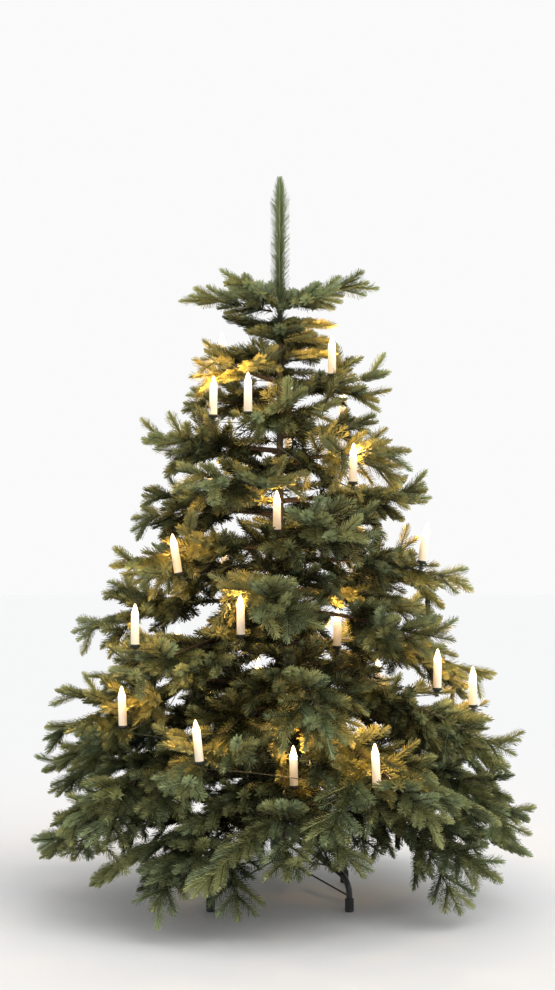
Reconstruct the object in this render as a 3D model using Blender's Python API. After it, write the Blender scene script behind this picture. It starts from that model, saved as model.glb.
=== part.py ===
"""Artificial Christmas tree: a pole on a folding metal stand, with boughs of moulded fir sprays.

Metres, +Z up. The origin is on the floor, under the middle of the pole.
The crown is a spiral of limbs up the pole. Each limb carries one mass: a stem that swells into a slim
core, with branchlets standing out of it. A branchlet is a toothed blade, and each tooth is the tip of
one spray of needles. The space round the pole is shared out: every place belongs to the limb whose
line is nearest, and a mass keeps to its own places.
"""

import math
import random

import bmesh
import bpy
from mathutils import Matrix, Vector

UP = Vector((0.0, 0.0, 1.0))
GAP = 0.0003

# Whole tree
TREE_HEIGHT = 1.80
FLOOR_CLEARANCE = 0.035
SPACE_MARGIN = 0.0045
HEIGHT_STRETCH = 2.2

# Pole
POLE_FOOT = 0.075
POLE_TIP = 1.450
POLE_FOOT_RADIUS = 0.0160
POLE_TIP_RADIUS = 0.0060
POLE_SIDES = 16
POLE_RINGS = 4

# Spiral of limbs, from the lowest up. A limb leaves the pole at its foot height, which is worked out
# from the height of its tip, and the crown's reach is worked out from that too.
LIMB_COUNT = 44
FIRST_TURN = 238.0
TURN_STEP = -137.5
TURN_SCATTER = 4.0
LOWEST_TIP = 0.050
HIGHEST_TIP = 1.405
TIP_SCATTER = 0.010
EVEN_SHARE = 0.50
FOOT_HEIGHT_BASE = 0.225
FOOT_HEIGHT_BY_TIP = 0.78
WIDEST_HEIGHT = 0.25
WIDEST_REACH = 0.635
TOP_REACH = 0.215
REACH_POWER = 0.8
REACH_LOSS_BELOW = 0.25
REACH_SCATTER = 0.01
SLOPE_AT_POLE = 0.11
SAG_POWER = 2.2
HEADING_STEP = 0.002

# Boughs of the lowest limbs, up to the mass that each carries
BOUGH_COUNT = 8
BOUGH_END = 0.150
BOUGH_RADIUS = 0.0095
BOUGH_END_RADIUS = 0.0078
BOUGH_SIDES = 6
BOUGH_RINGS = 4

# Stem of a mass, and the core round it
STEM_OVERLAP = 0.020
STEM_TIP_RADIUS = 0.0056
CORE_SIDES = 5
CORE_RINGS = 5
CORE_WIDTH_BASE = 0.020
CORE_WIDTH_BY_REACH = 0.090
CORE_HEIGHT_SHARE = 0.52
CORE_LEAN = 0.75
CORE_SHRINK_STEPS = (1.0, 0.8, 0.6, 0.4, 0.2)

# Branchlets of a mass
BARE_STEM = 0.030
BARE_SHARE = 0.22
PITCH_BASE = 0.018
PITCH_BY_REACH = 0.045
BRANCHLET_LONG = 0.200
BRANCHLET_SHORT = 0.150
BRANCHLET_SHARE = 0.60
OUTERMOST_SHARE = 0.90
TERMINAL_LENGTH = 0.140
TERMINAL_SHARE = 0.45
SPREAD_AT_FOOT = 56.0
SPREAD_AT_TIP = 36.0
ROLLS = (18.0, -14.0, 62.0, -46.0, -24.0, 38.0, -64.0, 12.0, 50.0, -34.0)
ROLL_SCATTER = 8.0
TWISTS = (28.0, 46.0, -12.0, 22.0, 58.0, 8.0, 40.0, -26.0, 34.0, 52.0)
TWIST_SCATTER = 10.0
END_TWIST = 40.0
DROOP = 0.08
SHRINK_STEPS = (1.0, 0.88, 0.76, 0.64)
LEVELLING_STEPS = (1.0, 0.6, 0.2, -0.3)
SHORTEST_BRANCHLET = 0.080

# Sprays of needles
SPRAY_LENGTH = 0.095
SPRAY_ANGLE = 40.0
SPRAY_PITCH = 0.055
LAST_PAIR_SHARE = 0.75
FIRST_PAIR_ALONG = 0.030
LATERAL_SHARE = 0.78
NOTCH_ALONG = 0.75
NOTCH_ACROSS = 0.30
BLADE_FOOT_THICKNESS = 0.0048
BLADE_TIP_THICKNESS = 0.0040
BLADE_FOOT_WIDTH = 0.0052

# Crown top: a whorl of branchlets round the foot of the leader, the upright spray
WHORL_COUNT = 6
WHORL_HEIGHT = 0.006
WHORL_PITCH = 0.008
WHORL_REACH = 0.225
WHORL_RISE = (11.0, 15.0, 2.0, 13.0, 6.0, 10.0)
WHORL_TURN = 175.0
WHORL_STEP = 62.0
WHORL_TWIST = 24.0
LEADER_FOOT = 1.515
LEADER_WIDTH = 0.042
LEADER_TEETH = 5
LEADER_FIRST_TOOTH = 0.18
LEADER_LAST_TOOTH = 0.90
LEADER_TAPER = 0.45
LEADER_NOTCH = 0.45
LEADER_SECOND_SHARE = 0.93
LEADER_TURN = 20.0
LEADER_CORE_SIDES = 3
LEADER_CORE_END = 0.030
CROWN_TOP_FLOOR = 1.405
CROWN_TOP_SLOPE = 0.15

# Stand
LEG_COUNT = 4
LEG_TURN = 45.0
LEG_RADIUS = 0.0075
LEG_SIDES = 8
LEG_BEND_STEPS = 5
LEG_SLOPE = 23.0
LEG_END_OVER_FOOT = 0.0015
LEG_BEND = 0.050
LEG_REACH = 0.236
HUB_FOOT = 0.120
HUB_TOP = 0.205
HUB_SIDES = 20
HUB_RADIUS = 0.0240
HUB_RIM_RADIUS = 0.0275
HUB_RIM_HEIGHT = 0.010
LEG_PIVOT_HEIGHT = 0.165
FOOT_RADIUS = 0.0098
FOOT_HEIGHT = 0.030
FOOT_CHAMFER = 0.001
BRACE_COLLAR_SIDES = 16
BRACE_COLLAR_FOOT = 0.084
BRACE_COLLAR_HEIGHT = 0.018
BRACE_COLLAR_RADIUS = 0.0225
BRACE_ROD_RADIUS = 0.0024
BRACE_ROD_SIDES = 6
BRACE_FOOT_HEIGHT = 0.0385
STAND_CLEARANCE = 0.016


def clear_scene():
    for thing in list(bpy.data.objects):
        bpy.data.objects.remove(thing, do_unlink=True)


def material(name, colour, roughness, metallic=0.0):
    made = bpy.data.materials.new(name)
    made.use_nodes = True
    shader = made.node_tree.nodes["Principled BSDF"]
    shader.inputs["Base Color"].default_value = (*colour, 1.0)
    shader.inputs["Roughness"].default_value = roughness
    shader.inputs["Metallic"].default_value = metallic
    return made


def finish(name, shape, surface, smooth_below=None):
    """Links the bmesh as an object; smooth_below is the sharpest angle, in degrees, shaded smooth."""
    bmesh.ops.recalc_face_normals(shape, faces=shape.faces)
    mesh = bpy.data.meshes.new(name)
    shape.to_mesh(mesh)
    shape.free()
    mesh.materials.append(surface)
    if smooth_below is not None:
        mesh.shade_smooth()
        mesh.set_sharp_from_angle(angle=math.radians(smooth_below))
    made = bpy.data.objects.new(name, mesh)
    bpy.context.scene.collection.objects.link(made)
    return made


def radial(turn):
    return Vector((math.cos(turn), math.sin(turn), 0.0))


def ring_points(point, tangent, halves, sides, across):
    """An oval ring square to the tangent; halves is (half width along across, half height)."""
    side = (across - tangent * across.dot(tangent)).normalized()
    top = side.cross(tangent)
    ring = []
    for step in range(sides):
        angle = math.tau * step / sides
        ring.append(point + side * (halves[0] * math.sin(angle)) + top * (halves[1] * math.cos(angle)))
    return ring


def tube(points, tangents, radii, sides, across):
    """A closed tube whose rings stand square to the tangents, the same way up all along."""
    return skin([
        ring_points(point, tangent, (radius, radius), sides, across)
        for point, tangent, radius in zip(points, tangents, radii)
    ])


def skin(outlines):
    """A closed solid through rings that have the same number of points."""
    shape = bmesh.new()
    rings = [[shape.verts.new(point) for point in outline] for outline in outlines]
    sides = len(rings[0])
    for lower, upper in zip(rings, rings[1:]):
        for step in range(sides):
            after = (step + 1) % sides
            shape.faces.new((lower[step], lower[after], upper[after], upper[step]))
    shape.faces.new(rings[0])
    shape.faces.new(rings[-1])
    return shape


def lathe(profile, sides, place=Matrix.Identity(4)):
    """A closed profile of (radius, height) points turned round +Z; a radius of 0 is on the axis."""
    shape = bmesh.new()
    rings = []
    for radius, height in profile:
        if radius == 0.0:
            rings.append([shape.verts.new((0.0, 0.0, height))] * sides)
            continue
        ring = []
        for step in range(sides):
            angle = math.tau * step / sides
            ring.append(shape.verts.new((radius * math.cos(angle), radius * math.sin(angle), height)))
        rings.append(ring)
    for first, second in zip(rings, rings[1:] + rings[:1]):
        for step in range(sides):
            after = (step + 1) % sides
            corners = list(dict.fromkeys((first[step], first[after], second[after], second[step])))
            if len(corners) > 2:
                shape.faces.new(corners)
    bmesh.ops.transform(shape, matrix=place, verts=shape.verts)
    return shape


def blade(outline, length, place):
    """A flat blade with this outline in its own XY, thinner towards its tip."""
    shape = bmesh.new()
    faces = []
    for face in (1.0, -1.0):
        corners = []
        for x, y in outline:
            share = min(max(x / length, 0.0), 1.0)
            half = 0.5 * (BLADE_FOOT_THICKNESS + (BLADE_TIP_THICKNESS - BLADE_FOOT_THICKNESS) * share)
            corners.append(shape.verts.new(place @ Vector((x, y, face * half))))
        faces.append(corners)
    upper, lower = faces
    shape.faces.new(upper)
    shape.faces.new(lower[::-1])
    for step in range(len(outline)):
        after = (step + 1) % len(outline)
        shape.faces.new((upper[step], lower[step], lower[after], upper[after]))
    return shape


# Crown: where each bough runs


def pole_radius(height):
    share = (height - POLE_FOOT) / (POLE_TIP - POLE_FOOT)
    return POLE_FOOT_RADIUS + (POLE_TIP_RADIUS - POLE_FOOT_RADIUS) * share


def crown_reach(tip_height):
    """How far out a limb goes whose tip is at this height."""
    if tip_height < WIDEST_HEIGHT:
        return WIDEST_REACH - REACH_LOSS_BELOW * (WIDEST_HEIGHT - tip_height)
    left = (HIGHEST_TIP - tip_height) / (HIGHEST_TIP - WIDEST_HEIGHT)
    return TOP_REACH + (WIDEST_REACH - TOP_REACH) * max(left, 0.0) ** REACH_POWER


class Limb:
    """The line of one bough and of the stem that goes on from it."""

    def __init__(self, number):
        self.number = number
        self.random = random.Random(number)
        scatter = self.random.uniform(-TURN_SCATTER, TURN_SCATTER)
        self.turn = math.radians(FIRST_TURN + TURN_STEP * number + scatter)
        share = number / (LIMB_COUNT - 1)
        rise = EVEN_SHARE * share + (1.0 - EVEN_SHARE) * share * share
        self.tip_height = LOWEST_TIP + (HIGHEST_TIP - LOWEST_TIP) * rise
        self.tip_height += self.random.uniform(0.0, TIP_SCATTER)
        self.foot_height = FOOT_HEIGHT_BASE + FOOT_HEIGHT_BY_TIP * self.tip_height
        self.reach = crown_reach(self.tip_height) * (1.0 - REACH_SCATTER * self.random.random())
        self.out = radial(self.turn)
        self.across = UP.cross(self.out)
        self.foot = pole_radius(self.foot_height) + GAP
        self.start = BOUGH_END if number < BOUGH_COUNT else self.foot
        self.end = self.reach - min(TERMINAL_LENGTH, TERMINAL_SHARE * self.reach)

    def height(self, distance):
        sag = self.foot_height + SLOPE_AT_POLE * self.reach - self.tip_height
        share = distance / self.reach
        return self.foot_height + SLOPE_AT_POLE * distance - sag * share ** SAG_POWER

    def at(self, distance):
        return self.out * distance + UP * self.height(distance)

    def farness(self, distance, turn, height):
        """How far a place is from this limb's line, with heights stretched."""
        off = (turn - self.turn + math.pi) % math.tau - math.pi
        return math.hypot(distance * off, HEIGHT_STRETCH * (height - self.height(distance)))

    def heading(self, distance):
        if distance <= self.foot:
            return self.out.copy()
        return (self.at(distance + HEADING_STEP) - self.at(distance - HEADING_STEP)).normalized()


def grow_limbs():
    return [Limb(number) for number in range(LIMB_COUNT)]


def stand_top(distance):
    """The height that foliage stays above, over the legs and then over the floor."""
    if distance > LEG_REACH + LEG_RADIUS + STAND_CLEARANCE:
        return FLOOR_CLEARANCE
    leg_top = LEG_PIVOT_HEIGHT - (distance - HUB_RADIUS) * math.tan(math.radians(LEG_SLOPE))
    return min(leg_top, HUB_TOP) + LEG_RADIUS + STAND_CLEARANCE


def in_space(limb, limbs, point):
    """Whether a point is nearer to this limb than to any other, and clear of pole, stand and top."""
    distance = math.hypot(point.x, point.y)
    if distance < pole_radius(point.z) + SPACE_MARGIN:
        return False
    if not stand_top(distance) < point.z < CROWN_TOP_FLOOR + CROWN_TOP_SLOPE * distance:
        return False
    turn = math.atan2(point.y, point.x)
    own = limb.farness(distance, turn, point.z) + 2.0 * HEIGHT_STRETCH * SPACE_MARGIN
    return all(own < other.farness(distance, turn, point.z) for other in limbs if other is not limb)


# Crown: the branching rule


def spray_plan(length):
    """The sprays of a branchlet: (foot along the branchlet, side, length), the end one first."""
    plan = [(length - SPRAY_LENGTH, 0, SPRAY_LENGTH)]
    foot = length - LAST_PAIR_SHARE * SPRAY_LENGTH
    while foot > FIRST_PAIR_ALONG:
        for side in (1, -1):
            plan.append((foot, side, SPRAY_LENGTH * LATERAL_SHARE))
        foot -= SPRAY_PITCH
    return plan


def blade_outline(length):
    """A toothed outline with a tooth at each spray's tip and a notch between two teeth."""
    half_foot = 0.5 * BLADE_FOOT_WIDTH
    angle = math.radians(SPRAY_ANGLE)
    edge = [(0.0, half_foot)]
    feet = sorted(foot for foot, side, _ in spray_plan(length) if side > 0)
    reach = SPRAY_LENGTH * LATERAL_SHARE
    for foot in feet:
        tip_x = foot + reach * math.cos(angle)
        tip_y = reach * math.sin(angle)
        edge.append((tip_x, tip_y))
        edge.append((foot + NOTCH_ALONG * (tip_x - foot), max(NOTCH_ACROSS * tip_y, half_foot)))
    return edge + [(length, 0.0)] + [(x, -y) for x, y in reversed(edge)]


def frame_on(root, heading, twist):
    """A frame with X along the heading and Z as near to straight up as it can be, then twisted."""
    side = UP.cross(heading).normalized()
    turned = Matrix((heading, side, heading.cross(side))).transposed().to_4x4()
    return Matrix.Translation(root) @ turned @ Matrix.Rotation(math.radians(twist), 4, "X")


def branchlets(limb, limbs):
    """Each branchlet of the limb's mass as (frame, length), those near the pole first."""
    draw = limb.random
    first = max(limb.start + BARE_STEM, BARE_SHARE * limb.reach)
    count = round((limb.end - first) / (PITCH_BASE + PITCH_BY_REACH * limb.reach))
    longest = min(BRANCHLET_LONG, BRANCHLET_SHARE * limb.reach)
    shortest = min(BRANCHLET_SHORT, OUTERMOST_SHARE * longest)
    grown = []
    for number in range(count):
        share = number / count
        distance = first + (limb.end - first) * share
        spread = SPREAD_AT_FOOT + (SPREAD_AT_TIP - SPREAD_AT_FOOT) * share
        roll = ROLLS[(number + limb.number) % len(ROLLS)] + draw.uniform(-ROLL_SCATTER, ROLL_SCATTER)
        twist = TWISTS[(number + limb.number) % len(TWISTS)] + draw.uniform(-TWIST_SCATTER, TWIST_SCATTER)
        hand = 1.0 if number % 2 else -1.0
        tries = []
        for shrink in SHRINK_STEPS:
            length = shrink * (longest + (shortest - longest) * share)
            for levelling in LEVELLING_STEPS:
                heading = branchlet_heading(limb, distance, spread, hand, levelling * roll)
                place = frame_on(limb.at(distance), heading, hand * twist)
                tries.append((place, length))
        grown.append(first_fitting(limb, limbs, tries))
    heading = limb.heading(limb.end)
    length = (limb.reach - limb.end) / math.hypot(heading.x, heading.y)
    place = frame_on(limb.at(limb.end), heading, draw.uniform(-END_TWIST, END_TWIST))
    grown.append(first_fitting(limb, limbs, [(place, length * shrink) for shrink in SHRINK_STEPS]))
    return [found for found in grown if found]


def whorl():
    """Each branchlet of the whorl under the leader, as (frame, length)."""
    grown = []
    for number in range(WHORL_COUNT):
        root = UP * (POLE_TIP + GAP + WHORL_HEIGHT + WHORL_PITCH * number)
        out = radial(math.radians(WHORL_TURN + WHORL_STEP * number))
        rise = math.radians(WHORL_RISE[number])
        heading = out * math.cos(rise) + UP * math.sin(rise)
        grown.append((frame_on(root, heading, WHORL_TWIST * (-1.0) ** number), WHORL_REACH))
    return grown


def branchlet_heading(limb, distance, spread, hand, roll):
    """Away from the stem by the spread, on the left or right hand, and rolled up or down about it."""
    forward = limb.heading(distance)
    top = (UP - forward * forward.z).normalized()
    out = limb.across * (hand * math.cos(math.radians(roll))) + top * math.sin(math.radians(roll))
    heading = forward * math.cos(math.radians(spread)) + out * math.sin(math.radians(spread))
    return (heading - UP * DROOP).normalized()


def first_fitting(limb, limbs, tries):
    """The first (frame, length) whose blade stays in the mass's space, or None."""
    for place, length in tries:
        corners = [Vector((x, y, 0.0)) for x, y in blade_outline(length)]
        tested = corners + [0.5 * (a + b) for a, b in zip(corners, corners[1:])]
        if length > SHORTEST_BRANCHLET and all(in_space(limb, limbs, place @ at) for at in tested):
            return place, length
    return None


# Pieces


def join(base, others):
    """Fuses the other objects into the base with one Boolean union on a collection."""
    group = bpy.data.collections.new(base.name + "_parts")
    bpy.context.scene.collection.children.link(group)
    for other in others:
        bpy.context.scene.collection.objects.unlink(other)
        group.objects.link(other)
    union = base.modifiers.new("Union", "BOOLEAN")
    union.operation = "UNION"
    union.operand_type = "COLLECTION"
    union.collection = group
    union.solver = "EXACT"
    bpy.context.view_layer.update()
    graph = bpy.context.evaluated_depsgraph_get()
    fused = bpy.data.meshes.new_from_object(base.evaluated_get(graph))
    base.modifiers.clear()
    base.data = fused
    for other in others:
        bpy.data.objects.remove(other, do_unlink=True)
    bpy.data.collections.remove(group)
    return base


def pole(surface):
    heights = [POLE_FOOT + (POLE_TIP - POLE_FOOT) * step / (POLE_RINGS - 1) for step in range(POLE_RINGS)]
    points = [UP * height for height in heights]
    radii = [pole_radius(height) for height in heights]
    shape = tube(points, [UP] * POLE_RINGS, radii, POLE_SIDES, Vector((0.0, 1.0, 0.0)))
    return finish("trunk", shape, surface, smooth_below=40.0)


def run(limb, start, end, count):
    """Points and tangents along a limb, between two distances from the pole's axis."""
    distances = [start + (end - start) * step / (count - 1) for step in range(count)]
    return [limb.at(d) for d in distances], [limb.heading(d) for d in distances]


def core_rings(limb, limbs):
    """Rings of the stem and of the core that it swells into, as large as the mass's space lets it."""
    points, tangents = run(limb, limb.start, limb.end + STEM_OVERLAP, CORE_RINGS)
    rings = []
    for step, (point, tangent) in enumerate(zip(points, tangents)):
        share = step / (CORE_RINGS - 1)
        stem = BOUGH_END_RADIUS + (STEM_TIP_RADIUS - BOUGH_END_RADIUS) * share
        swell = CORE_WIDTH_BASE + CORE_WIDTH_BY_REACH * limb.reach - stem
        swell *= math.sin(math.pi * share ** CORE_LEAN)
        ring = ring_points(point, tangent, (stem, stem), CORE_SIDES, limb.across)
        for shrink in CORE_SHRINK_STEPS:
            halves = (stem + shrink * swell, stem + shrink * swell * CORE_HEIGHT_SHARE)
            wider = ring_points(point, tangent, halves, CORE_SIDES, limb.across)
            if swell > stem and all(in_space(limb, limbs, corner) for corner in wider):
                ring = wider
                break
        rings.append(ring)
    return rings


def bough(limb, name, surface):
    points, tangents = run(limb, limb.foot, BOUGH_END, BOUGH_RINGS)
    points[-1] = points[-1] - tangents[-1] * GAP
    radii = [
        BOUGH_RADIUS + (BOUGH_END_RADIUS - BOUGH_RADIUS) * step / (BOUGH_RINGS - 1)
        for step in range(BOUGH_RINGS)
    ]
    shape = tube(points, tangents, radii, BOUGH_SIDES, limb.across)
    return finish(name, shape, surface, smooth_below=50.0)


def mass(limb, limbs, name, surface):
    stem = finish(name, skin(core_rings(limb, limbs)), surface)
    blades = []
    for number, (place, length) in enumerate(branchlets(limb, limbs)):
        shape = blade(blade_outline(length), length, place)
        blades.append(finish(f"{name}_blade_{number}", shape, surface))
    return join(stem, blades)


def leader_outline(length):
    """A slim toothed outline that narrows towards its tip."""
    half = 0.5 * LEADER_WIDTH
    edge = [(0.0, 0.5 * BLADE_FOOT_WIDTH)]
    for tooth in range(LEADER_TEETH):
        share = tooth / (LEADER_TEETH - 1)
        x = length * (LEADER_FIRST_TOOTH + (LEADER_LAST_TOOTH - LEADER_FIRST_TOOTH) * share)
        y = half * (1.0 - LEADER_TAPER * share)
        edge.append((x, y))
        edge.append((x, LEADER_NOTCH * y))
    return edge + [(length, 0.0)] + [(x, -y) for x, y in reversed(edge)]


def crown_top(name, surface):
    """The leader, of two toothed blades that cross on its core, over a whorl of branchlets."""
    foot = POLE_TIP + GAP
    heights = (foot, LEADER_FOOT, 0.5 * (LEADER_FOOT + TREE_HEIGHT), TREE_HEIGHT - LEADER_CORE_END)
    points = [UP * height for height in heights]
    radii = (BOUGH_END_RADIUS, BOUGH_END_RADIUS, STEM_TIP_RADIUS, 0.5 * STEM_TIP_RADIUS)
    core = finish(name, tube(points, [UP] * 4, radii, LEADER_CORE_SIDES, Vector((0.0, 1.0, 0.0))), surface)
    blades = []
    for number, share in enumerate((1.0, LEADER_SECOND_SHARE)):
        length = (TREE_HEIGHT - LEADER_FOOT) * share
        turn = Matrix.Rotation(math.radians(LEADER_TURN + 90.0 * number), 4, "Z")
        upright = Matrix.Rotation(math.radians(-90.0), 4, "Y")
        place = Matrix.Translation(UP * LEADER_FOOT) @ turn @ upright
        shape = blade(leader_outline(length), length, place)
        blades.append(finish(f"{name}_leader_{number}", shape, surface))
    for number, (place, length) in enumerate(whorl()):
        shape = blade(blade_outline(length), length, place)
        blades.append(finish(f"{name}_whorl_{number}", shape, surface))
    return join(core, blades)


def leg_line():
    """The (distance, height) points of a leg's middle line, from the hub to the foot cap."""
    slope = math.radians(LEG_SLOPE)
    line = [(HUB_RADIUS + GAP, LEG_PIVOT_HEIGHT)]
    sweep = 0.5 * math.pi - slope
    centre_x = LEG_REACH - LEG_BEND
    bend_start_x = centre_x + LEG_BEND * math.sin(slope)
    bend_start_z = LEG_PIVOT_HEIGHT - (bend_start_x - HUB_RADIUS) * math.tan(slope)
    centre_z = bend_start_z - LEG_BEND * math.cos(slope)
    for step in range(LEG_BEND_STEPS + 1):
        angle = slope + sweep * step / LEG_BEND_STEPS
        line.append((centre_x + LEG_BEND * math.sin(angle), centre_z + LEG_BEND * math.cos(angle)))
    line.append((LEG_REACH, FOOT_HEIGHT + LEG_END_OVER_FOOT))
    return line


def leg(turn, name, surface):
    """A curved tube from the hub down to a thicker foot."""
    out = radial(turn)
    points = [out * x + UP * z for x, z in leg_line()]
    tangents = []
    for step in range(len(points)):
        before = points[max(step - 1, 0)]
        after = points[min(step + 1, len(points) - 1)]
        tangents.append((after - before).normalized())
    tangents[0] = out.copy()
    tangents[-1] = -UP
    radii = [LEG_RADIUS] * len(points)
    sole = points[-1]
    sole_radius = FOOT_RADIUS - FOOT_CHAMFER
    for radius, height in ((FOOT_RADIUS, FOOT_HEIGHT), (FOOT_RADIUS, FOOT_CHAMFER), (sole_radius, 0.0)):
        points.append(Vector((sole.x, sole.y, height)))
        tangents.append(-UP)
        radii.append(radius)
    shape = tube(points, tangents, radii, LEG_SIDES, UP.cross(out))
    return finish(name, shape, surface, smooth_below=40.0)


def hub(surface):
    """The sleeve on the pole's foot that the legs fold out of."""
    bore = pole_radius(HUB_FOOT) + GAP
    profile = (
        (bore, HUB_FOOT),
        (HUB_RADIUS, HUB_FOOT),
        (HUB_RADIUS, HUB_TOP - HUB_RIM_HEIGHT),
        (HUB_RIM_RADIUS, HUB_TOP - HUB_RIM_HEIGHT),
        (HUB_RIM_RADIUS, HUB_TOP),
        (bore, HUB_TOP),
    )
    return finish("stand_hub", lathe(profile, HUB_SIDES), surface, smooth_below=40.0)


def brace(surface):
    """The lower collar with one rod out to each leg, as a single piece."""
    bore = pole_radius(POLE_FOOT) + GAP
    top = BRACE_COLLAR_FOOT + BRACE_COLLAR_HEIGHT
    profile = (
        (bore, BRACE_COLLAR_FOOT),
        (BRACE_COLLAR_RADIUS, BRACE_COLLAR_FOOT),
        (BRACE_COLLAR_RADIUS, top),
        (bore, top),
    )
    collar = finish("stand_brace", lathe(profile, BRACE_COLLAR_SIDES), surface, smooth_below=40.0)
    rods = []
    for number in range(LEG_COUNT):
        out = radial(math.radians(LEG_TURN + 360.0 * number / LEG_COUNT))
        inner = out * (0.5 * (bore + BRACE_COLLAR_RADIUS)) + UP * (0.5 * (BRACE_COLLAR_FOOT + top))
        outer = out * (LEG_REACH - LEG_RADIUS - GAP) + UP * BRACE_FOOT_HEIGHT
        tangents = [(outer - inner).normalized(), out]
        shape = tube((inner, outer), tangents, [BRACE_ROD_RADIUS] * 2, BRACE_ROD_SIDES, UP.cross(out))
        rods.append(finish(f"brace_rod_{number}", shape, surface))
    return join(collar, rods)


def build():
    clear_scene()
    needles = material("fir_needles", (0.075, 0.125, 0.055), 0.55)
    bark = material("bough_wrap", (0.075, 0.052, 0.035), 0.80)
    paint = material("black_paint", (0.012, 0.012, 0.013), 0.38, metallic=0.2)
    pole(bark)
    hub(paint)
    brace(paint)
    for number in range(LEG_COUNT):
        turn = math.radians(LEG_TURN + 360.0 * number / LEG_COUNT)
        leg(turn, f"stand_leg_{number + 1}", paint)
    limbs = grow_limbs()
    for limb in limbs:
        label = f"{limb.number + 1:02d}"
        if limb.number < BOUGH_COUNT:
            bough(limb, "bough_" + label, bark)
        mass(limb, limbs, "foliage_" + label, needles)
    crown_top("foliage_top", needles)


build()
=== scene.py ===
"""Looks of an artificial Christmas tree with a string of candle lights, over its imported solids.

Metres, +Z up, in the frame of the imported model. The crown grows here by the rule of the solids: a
spiral of limbs up the pole, a share of the space for each, and branchlets with sprays. Here each
spray is a twig with a brush of needles, and more sprays stand out of each branchlet's plane.
"""

import math
import random
from collections import namedtuple
from copy import copy
from functools import lru_cache

import bmesh
import bpy
import numpy as np
from bpy.props import FloatProperty, FloatVectorProperty, IntProperty, PointerProperty
from mathutils import Matrix, Vector


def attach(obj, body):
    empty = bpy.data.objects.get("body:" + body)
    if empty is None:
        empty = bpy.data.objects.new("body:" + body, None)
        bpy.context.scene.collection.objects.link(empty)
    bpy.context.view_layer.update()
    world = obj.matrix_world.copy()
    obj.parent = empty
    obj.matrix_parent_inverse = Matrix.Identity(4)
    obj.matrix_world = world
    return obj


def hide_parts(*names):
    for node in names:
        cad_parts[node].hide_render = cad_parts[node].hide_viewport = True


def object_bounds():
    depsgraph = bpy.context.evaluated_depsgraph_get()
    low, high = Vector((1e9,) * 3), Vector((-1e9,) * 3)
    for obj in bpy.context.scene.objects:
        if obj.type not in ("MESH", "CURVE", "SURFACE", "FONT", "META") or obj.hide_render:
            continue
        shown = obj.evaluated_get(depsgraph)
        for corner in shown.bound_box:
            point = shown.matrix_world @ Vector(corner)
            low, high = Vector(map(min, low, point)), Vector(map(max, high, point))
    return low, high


bl_info = {
    "name": "Christmas Tree With Candle Lights",
    "version": (1, 0, 0),
    "blender": (4, 5, 0),
    "location": "3D View > Sidebar > Tree",
    "description": "Grows needles, twigs, stand details and candle lights on a packed artificial tree",
    "category": "Add Mesh",
}

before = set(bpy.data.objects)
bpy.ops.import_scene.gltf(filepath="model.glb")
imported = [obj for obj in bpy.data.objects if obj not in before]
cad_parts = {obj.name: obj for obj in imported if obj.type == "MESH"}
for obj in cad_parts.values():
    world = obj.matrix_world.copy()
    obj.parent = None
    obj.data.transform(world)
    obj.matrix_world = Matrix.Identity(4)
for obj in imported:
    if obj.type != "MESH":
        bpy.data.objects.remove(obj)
CAD_LOW, CAD_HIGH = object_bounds()
BODY = "root"
UP = Vector((0.0, 0.0, 1.0))
GAP = 0.0003
GOLDEN_ANGLE = math.pi * (3.0 - math.sqrt(5.0))

# Crown's rule, as in the solids: whole tree and pole
TREE_HEIGHT = CAD_HIGH.z
FLOOR_CLEARANCE = 0.035
SPACE_MARGIN = 0.0045
HEIGHT_STRETCH = 2.2
POLE_FOOT = 0.075
POLE_TIP = 1.450
POLE_FOOT_RADIUS = 0.0160
POLE_TIP_RADIUS = 0.0060

# Crown's rule: spiral of limbs
LIMB_COUNT = 44
FIRST_TURN = 238.0
TURN_STEP = -137.5
TURN_SCATTER = 4.0
LOWEST_TIP = 0.050
HIGHEST_TIP = 1.405
TIP_SCATTER = 0.010
EVEN_SHARE = 0.50
FOOT_HEIGHT_BASE = 0.225
FOOT_HEIGHT_BY_TIP = 0.78
WIDEST_HEIGHT = 0.25
WIDEST_REACH = 0.635
TOP_REACH = 0.215
REACH_POWER = 0.8
REACH_LOSS_BELOW = 0.25
REACH_SCATTER = 0.01
SLOPE_AT_POLE = 0.11
SAG_POWER = 2.2
HEADING_STEP = 0.002
BOUGH_COUNT = 8
BOUGH_END = 0.150
BOUGH_RADIUS = 0.0095
BOUGH_END_RADIUS = 0.0078
STEM_TIP_RADIUS = 0.0056
STEM_OVERLAP = 0.020

# Crown's rule: branchlets and sprays
BARE_STEM = 0.030
BARE_SHARE = 0.22
PITCH_BASE = 0.018
PITCH_BY_REACH = 0.045
BRANCHLET_LONG = 0.200
BRANCHLET_SHORT = 0.150
BRANCHLET_SHARE = 0.60
OUTERMOST_SHARE = 0.90
TERMINAL_LENGTH = 0.140
TERMINAL_SHARE = 0.45
SPREAD_AT_FOOT = 56.0
SPREAD_AT_TIP = 36.0
ROLLS = (18.0, -14.0, 62.0, -46.0, -24.0, 38.0, -64.0, 12.0, 50.0, -34.0)
ROLL_SCATTER = 8.0
TWISTS = (28.0, 46.0, -12.0, 22.0, 58.0, 8.0, 40.0, -26.0, 34.0, 52.0)
TWIST_SCATTER = 10.0
END_TWIST = 40.0
DROOP = 0.08
SHRINK_STEPS = (1.0, 0.88, 0.76, 0.64)
LEVELLING_STEPS = (1.0, 0.6, 0.2, -0.3)
SHORTEST_BRANCHLET = 0.080
SPRAY_LENGTH = 0.095
SPRAY_ANGLE = 40.0
SPRAY_PITCH = 0.055
LAST_PAIR_SHARE = 0.75
FIRST_PAIR_ALONG = 0.030
LATERAL_SHARE = 0.78
NOTCH_ALONG = 0.75
NOTCH_ACROSS = 0.30
BLADE_FOOT_WIDTH = 0.0052

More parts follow.
